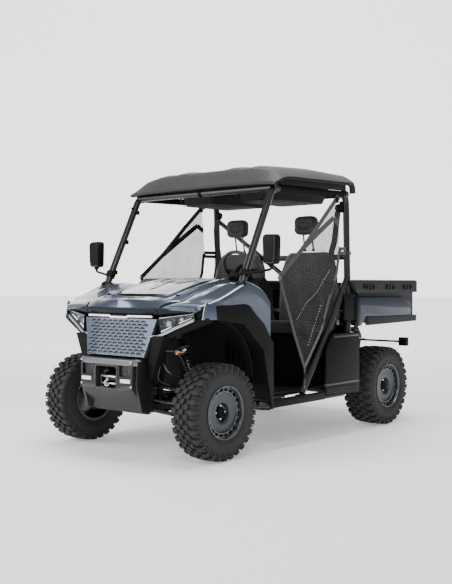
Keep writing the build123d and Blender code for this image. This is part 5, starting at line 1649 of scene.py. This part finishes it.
def make_bed():
    softened("bed", "bed", 4, 3, "bed")
    softened("tailgate", "bed", 4, 3, "tailgate")
    panels = Form()
    outline = [(1540, 1017), (2235, 1012), (2363, 957), (2363, 864), (1839, 864), (1700, 868), (1663, 870),
        (1600, 800), (1540, 797)]
    rows = panels.stepped(side_at, outline, ((0, 684), (0, 696), (1.5, 699.3), (5, 700), (13, 700.4), (16, 702.2)))
    panels.add(rows[0], [list(range(9))])
    panels.add(rows[-1], [list(range(9))])
    panels.prism(lengthwise(699, (1540, 1016), (1574, 1016), (1588, 900), (1560, 797), (1540, 797)), (0.004, 0, 0), 1)
    # The panels take the half-bright copy of the body paint: painted shade.
    piece("bed_panel_skins", panels.mirrored(), ["low", "lip"], "bed_side_panels", body="bed", bevel=1,
        smooth=30)
    rail = Form()
    rail.tube(marks((697, 1462, 1138), (697, 2432, 1138)), 12, 14)
    rail.prism(crosswise(1500, (713, 1052), (719, 1052), (717, 1072), (714, 1088)), (0, 0.93, 0), 1)
    for station in (1692, 1994, 2270):
        hole = [(station + u * 72, 1096 + v * 22) for u, v in
                ((1, 0.4), (0.84, 1), (-0.84, 1), (-1, 0.4), (-1, -0.4), (-0.84, -1), (0.84, -1), (1, -0.4))]
        rows = rail.stepped(side_at, hole, ((-3, 712), (-2.4, 718), (0, 718.6), (3, 716.5)), 2)
        rail.add(rows[-1], [list(range(8))], 3)
        for shift in (-26, 20):
            rail.prism([at(715, station + shift + u, 1096 + v) for u, v in ((-13, -19), (5, -19), (9, 19), (-9, 19))],
                (0.005, 0, 0))
    piece("bed_rails", rail.mirrored(), ["bed", "skid", "bed", "dark"], body="bed", smooth=40)
    rib = Form().prism(crosswise(1640, (-560, 840), (-545, 840), (-549, 846), (-556, 846)), (0, 0.75, 0))
    repeated("bed_floor_ribs", rib, "rows", "bed", "bed", bevel=1, **in_rows(19, (61.4, 0, 0)))
    wall = Form().prism(lengthwise(600, (1640, 850), (1658, 850), (1658, 1040), (1640, 1040)), (0.049, 0, 0))
    repeated("bed_wall_ribs", wall, "rows", "bed", "bed", bevel=3, **in_rows(8, (0, 98, 0), 2, (-1249, 0, 0)))
    gate = Form()
    for x in (-480, -160, 160, 480):
        gate.prism(crosswise(2459, (x - 110, 885), (x + 110, 885), (x + 104, 1080), (x - 104, 1080)), (0, 0.005, 0))
    gate.prism(crosswise(2459, (-90, 1086), (90, 1086), (82, 1112), (-82, 1112)), (0, 0.010, 0), 1)
    for side in (-1, 1):
        gate.lathe([(0, 0), (0, 28), (5, 28), (6, 24), (6, 0)], at(side * 560, 2459, 905), (0, 1, 0), 24, 2)
    piece("tailgate_detail", gate, ["bed", "dark", "red"], body="tailgate", bevel=3)
    post = Form()
    post.prism(lengthwise(600, (1560, 690), (1560, 772), (1640, 766), (1695, 742), (1722, 704), (1790, 694),
        (1790, 684)), (0.006, 0, 0))
    for route in ((610, 1570, 752, 1690, 738), (610, 1590, 716, 1706, 712), (610, 1700, 700, 1788, 690)):
        post.tube(marks((route[0], route[1], route[2]), (route[0], route[3], route[4])), 6, 8, 1)
    post.prism(lengthwise(676, (1545, 760), (1572, 760), (1590, 330), (1560, 310), (1545, 310)), (0.02, 0, 0))
    piece("rear_posts", post.mirrored(), ["dark", "silver"], bevel=2)


def spring(form, foot, head, radius, wire, turns, slot):
    """A coil spring between two points."""
    foot, head = Vector(foot), Vector(head)
    axis = (head - foot).normalized()
    side = axis.orthogonal().normalized()
    other = axis.cross(side)
    count = turns * 20
    form.tube([foot + (head - foot) * step / count + (side * cos(step / 20 * 2 * pi)
        + other * sin(step / 20 * 2 * pi)) * radius * MM for step in range(count + 1)], wire, 8, slot)


def make_suspension(sizes):
    arms, rear = Form(), Form()
    for ball_z, away, inner_x, inner_z, spread in ((236, -1, 215, 306, 165), (396, 1, 240, 455, 110)):
        eye_z = ball_z + away * 7
        for end in (-1, 1):
            arms.tube(bent(marks((inner_x, end * spread, inner_z), (430, end * 38, eye_z + (inner_z - eye_z) * 0.34),
                (520, end * 6, eye_z)), 120, 6), 14, 14)
            arms.lathe(barrel(22, 19), at(inner_x, end * spread, inner_z), (0, 1, 0), 18)
        arms.lathe([(0, 0), (0, 22), (away * 12, 22), (away * 14, 0)], at(540, 0, ball_z), (0, 0, 1), 24)
        arms.block((508, 540), (-15, 15), (eye_z - 6, eye_z + 6))
    piece("front_arm_tubes", arms.mirrored(), ["frame"], "front_arms", smooth=45)
    for ball_z, inner_x, inner_z in ((241, 215, 290), (391, 235, 430)):
        rear.tube(marks((inner_x, REAR_AXLE - 170, inner_z), (440, REAR_AXLE - 20, ball_z)), 14, 14)
        rear.tube(marks((inner_x, REAR_AXLE + 150, inner_z), (440, REAR_AXLE + 20, ball_z)), 14, 14)
        rear.block((425, 460), (REAR_AXLE - 35, REAR_AXLE + 35), (ball_z - 15, ball_z + 15))
    piece("rear_arm_tubes", rear.mirrored(), ["frame"], "rear_arms", smooth=45, bevel=1)
    for name, node, foot, head in (
            ("front", "front_shocks", at(425, 25, 438), at(258, 30, 846)),
            ("rear", "rear_shocks", at(400, REAR_AXLE + 45, 420), at(285, REAR_AXLE + 75, 705))):
        unit = Form()
        axis = head - foot
        unit.tube([foot, foot.lerp(head, 0.5)], 9, 14, 1)
        unit.tube([foot.lerp(head, 0.45), foot.lerp(head, 0.97)], 22, 20)
        for eye in (foot, head):
            unit.lathe(barrel(14, 17), eye, (0, 1, 0), 18)
        for share in (0.07, 0.64):
            spot = foot.lerp(head, share)
            unit.lathe(barrel(4, 37, 10), spot, axis, 24, 1, True)
        spring(unit, foot.lerp(head, 0.08), foot.lerp(head, 0.63), 31, 5.2, sizes.spring_turns, 2)
        canister = foot.lerp(head, 0.8) + Vector((0.03, -0.045, 0))
        unit.tube([canister, canister + axis.normalized() * 0.09], 18, 16, 1)
        piece(name + "_coil_overs", unit.mirrored(), ["dark", "cast", "frame"], node, smooth=45)
    boots = Form()
    boots.block((-110, 110), (-68, 90), (302, 370), 1)
    boots.block((-110, 110), (1935, 2075), (302, 380), 1)
    boots.tube(marks((0, 90, 323), (0, 1935, 323)), 16, 16, 2)
    for station, x, z in ((0, 488, 311), (REAR_AXLE, 452, 311)):
        inner, outer = at(110, station, 356), at(x, station, z)
        boots.tube([inner, outer], 13.5, 14, 2)
        for end, way in ((inner, outer - inner), (outer, inner - outer)):
            profile = [(0, 13.5)]
            for fold in range(6):
                profile += [(6 + fold * 12, 36 - fold * 3.2), (12 + fold * 12, 28 - fold * 2.6)]
            boots.lathe(profile + [(84, 13.5)], end, way, 22, 0, True)
    boots.mirrored()
    piece("drive_shafts", boots, ["plastic", "cast", "frame"], "driveline", bevel=2, smooth=45)
    for sign, label in SIDES:
        lines = Form()
        lines.tube(bent(marks((300, -190, 620), (380, -210, 700), (470, -180, 690), (430, -50, 545), side=sign), 60,
            8), 4.5, 8)
        lines.tube(bent(marks((300, -185, 560), (350, -215, 640), (320, -215, 500), (350, -130, 470), side=sign), 50,
            8), 4.5, 8)
        lines.tube(bent(marks((330, -190, 640), (380, -190, 560), (400, -90, 520), side=sign), 60, 8), 4, 8, 1)
        reach = 470 if sign > 0 else 400
        lines.lathe([(-20, 0), (-20, 12), (0, 12), (6, 8), (24, 8), (24, 0)], at(sign * reach, -178, 690),
            (0.3 * sign, 0.9, -0.2), 14, 2)
        lines.block((sign * (reach - 24), sign * reach), (-188, -174), (676, 698), 2)
        lines.lathe([(-12, 0), (-12, 11), (12, 11), (14, 0)], at(sign * (reach + 28), -160, 702), (0.2, 0.6, 0.7), 12,
            3)
        piece("brake_lines_" + label, lines, ["hose", "steel", "copper", "chrome"], bevel=1, smooth=50)
    # Upright back of the front bay, with its moulded vents.
    wall = Form()
    for side in (-1, 1):
        for index in range(7):
            wall.prism(crosswise(430, (330 + index * 46, 560), (352 + index * 46, 560), (352 + index * 46, 760),
                (330 + index * 46, 760), side=side), (0, 0.014, 0))
    piece("bay_ribs", wall, ["plastic"], bevel=3)


def make_rear():
    softened("engine", "cast", width=14, segments=3)
    softened("muffler", "steel", width=5)
    softened("hitch", "frame", width=1.2)
    lamps = Form()
    lamps.block((600, 670), (2332, 2378), (605, 675))
    lamps.block((606, 664), (2376, 2380), (611, 669), 1)
    lamps.block((225, 600), (2334, 2342), (632, 648))
    piece("tail_lamps", lamps.mirrored(), ["plastic", "red"], "taillights", bevel=4)
    fins = Form().prism(lengthwise(-138, (1700, 700), (1706, 700), (1706, 712), (1700, 712)), (0.276, 0, 0))
    repeated("engine_fins", fins, "rows", "cast", bevel=1, **in_rows(12, (0, 16, 0)))
    pipe = Form()
    pipe.lathe([(-200, 0), (-200, 70), (-190, 81), (190, 81), (200, 70), (200, 0)], at(0, 2185, 560), (1, 0, 0), 40)
    pipe.tube(bent(marks((-120, 2125, 560), (-120, 2040, 560), (-110, 1960, 580), (-60, 1936, 600)), 60, 6), 22, 18)
    pipe.tube(marks((150, 2240, 560), (168, 2300, 560), (168, 2350, 556)), 19, 18)
    piece("muffler_can", pipe, ["steel"], smooth=45)


# Stage
# The way from the camera to the backdrop, along X and Y.
BACKDROP = (-0.65, 0.76)


def aimed(context, name, data, place, target):
    """A light or a camera that looks at a point."""
    thing = bpy.data.objects.new(name, data)
    thing.location = place
    thing.rotation_euler = (target - place).to_track_quat("-Z", "Y").to_euler()
    context.scene.collection.objects.link(thing)
    return thing


def make_stage(context):
    mesh = bpy.data.meshes.new("floor")
    mesh.from_pydata([(-60, -60, 0), (60, -60, 0), (60, 60, 0), (-60, 60, 0)], [], [(0, 1, 2, 3)])
    ground = Finish("studio_floor")
    x, y = ground.axes()[:2]
    away = ((x * BACKDROP[0] + y * BACKDROP[1]) * 0.15 - 0.22).held()
    FINISH["studio"] = ground.done(Base_Color=ground.mixed(ground.noise(0.4, 2), (0.86, 0.86, 0.86), (0.9, 0.9, 0.9)),
        Roughness=0.85, Emission_Color=ground.mixed(away, (0.22, 0.22, 0.22), (1, 1, 1)), Emission_Strength=1.5)
    link("floor", mesh, ["studio"])
    world = bpy.data.worlds.new("studio")
    world.use_nodes = True
    sky = Nodes(world.node_tree)
    direction = sky.node("ShaderNodeTexCoord").outputs["Generated"]
    towards = sky.node("ShaderNodeVectorMath", {"operation": "DOT_PRODUCT"}, i0=direction, i1=(*BACKDROP, 0))
    ramp = sky.node("ShaderNodeValToRGB", {"stops": ((0, 0.3), (0.55, 0.22), (0.86, 2.4), (1, 2.6))},
        Fac=towards.outputs["Value"])
    sky.join(sky.tree.nodes["Background"].inputs["Color"], ramp.outputs["Color"])
    context.scene.world = world
    for name, place, target, size, power in (
            ("key", (4.5, -5.5, 5.5), (0.2, -0.3, 0.6), 2.4, 250),
            ("front", (-3.6, -6.2, 3.2), (0, -1, 0.8), 3.6, 300),
            ("top", (0, 0.4, 6.5), (0, 0, 0), 3.4, 470),
            ("side", (7.0, 1.0, 3.6), (0.4, 0.4, 0.7), 2.4, 30)):
        light = bpy.data.lights.new(name, "AREA")
        light.size, light.energy = size, power
        aimed(context, name, light, Vector(place), Vector(target))
    data = bpy.data.cameras.new("camera")
    data.lens, data.sensor_width = 55.18, 36
    context.scene.camera = aimed(context, "camera", data, Vector((4.351, -4.254 + FRONT_AXLE_Y, 1.123)),
        Vector((-0.002, 0.830 + FRONT_AXLE_Y, 1.058)))


# Operators
def settings(context):
    return context.scene.sidebyside_paint, context.scene.sidebyside_sizes


class SIDEBYSIDE_OT_finishes(bpy.types.Operator):
    """Makes the materials and gives them to the carried-over pieces"""

    bl_idname = "sidebyside.finishes"
    bl_label = "Finishes"

    def execute(self, context):
        make_finishes(settings(context)[0])
        given = {"frame": ("main_frame", "bed_hinge", "steering_rack", "rear_carriers"), "steel": ("tie_rods",),
            "cast": ("knuckle_left", "knuckle_right")}
        for name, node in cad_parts.items():
            node.data.materials.clear()
            node.data.materials.append(FINISH[next((key for key, names in given.items() if name in names),
                "plastic")])
        return {"FINISHED"}


class SIDEBYSIDE_OT_wheels(bpy.types.Operator):
    """Tyres with tread blocks, and slotted rims"""

    bl_idname = "sidebyside.wheels"
    bl_label = "Wheels"

    def execute(self, context):
        for wheel in WHEELS:
            make_tyre(settings(context)[1], *wheel)
            make_rim(settings(context)[1], *wheel)
        return {"FINISHED"}


class SIDEBYSIDE_OT_front(bpy.types.Operator):
    """Hood, fenders, headlights, grille, bumper and winch"""

    bl_idname = "sidebyside.front"
    bl_label = "Front body"

    def execute(self, context):
        make_hood()
        make_fenders()
        make_headlights()
        make_grille(settings(context)[1])
        make_front()
        return {"FINISHED"}


class SIDEBYSIDE_OT_cage(bpy.types.Operator):
    """Tube cage, roof and its pods"""

    bl_idname = "sidebyside.cage"
    bl_label = "Cage and roof"

    def execute(self, context):
        make_cage()
        make_roof()
        return {"FINISHED"}


class SIDEBYSIDE_OT_cab(bpy.types.Operator):
    """Seats, belts, nets, steering wheel, dash and mirrors"""

    bl_idname = "sidebyside.cab"
    bl_label = "Cab"

    def execute(self, context):
        make_seats(settings(context)[1])
        make_belts()
        make_nets()
        make_controls()
        make_mirrors()
        return {"FINISHED"}


class SIDEBYSIDE_OT_rear(bpy.types.Operator):
    """Side panels, cargo bed, tail lamps and engine"""

    bl_idname = "sidebyside.rear"
    bl_label = "Sides and bed"

    def execute(self, context):
        make_sides()
        make_bed()
        make_rear()
        return {"FINISHED"}


class SIDEBYSIDE_OT_suspension(bpy.types.Operator):
    """Arms, coil-overs, drive shafts and brake lines"""

    bl_idname = "sidebyside.suspension"
    bl_label = "Suspension"

    def execute(self, context):
        make_suspension(settings(context)[1])
        return {"FINISHED"}


class SIDEBYSIDE_OT_stage(bpy.types.Operator):
    """Sets the floor, the lights and the camera"""

    bl_idname = "sidebyside.stage"
    bl_label = "Stage"

    def execute(self, context):
        make_stage(context)
        return {"FINISHED"}


class SIDEBYSIDE_PT_panel(bpy.types.Panel):
    """Lists the vehicle's steps"""

    bl_label = "Side by Side"
    bl_idname = "SIDEBYSIDE_PT_panel"
    bl_space_type = "VIEW_3D"
    bl_region_type = "UI"
    bl_category = "Side by Side"

    def draw(self, context):
        for group in (context.scene.sidebyside_paint, context.scene.sidebyside_sizes):
            for name in group.__annotations__:
                self.layout.prop(group, name)
        for step in STEPS:
            self.layout.operator(step.bl_idname)


STEPS = (SIDEBYSIDE_OT_finishes, SIDEBYSIDE_OT_wheels, SIDEBYSIDE_OT_front, SIDEBYSIDE_OT_cage, SIDEBYSIDE_OT_cab,
    SIDEBYSIDE_OT_rear, SIDEBYSIDE_OT_suspension, SIDEBYSIDE_OT_stage)
CLASSES = (SideBySidePaint, SideBySideSizes, *STEPS, SIDEBYSIDE_PT_panel)


def register():
    for cls in CLASSES:
        bpy.utils.register_class(cls)
    bpy.types.Scene.sidebyside_paint = bpy.props.PointerProperty(type=SideBySidePaint)
    bpy.types.Scene.sidebyside_sizes = bpy.props.PointerProperty(type=SideBySideSizes)


def unregister():
    del bpy.types.Scene.sidebyside_sizes
    del bpy.types.Scene.sidebyside_paint
    for cls in reversed(CLASSES):
        bpy.utils.unregister_class(cls)


def main():
    register()
    bpy.ops.sidebyside.finishes()
    bpy.ops.sidebyside.wheels()
    bpy.ops.sidebyside.front()
    bpy.ops.sidebyside.cage()
    bpy.ops.sidebyside.cab()
    bpy.ops.sidebyside.rear()
    bpy.ops.sidebyside.suspension()
    bpy.ops.sidebyside.stage()


if __name__ == "__main__":
    main()
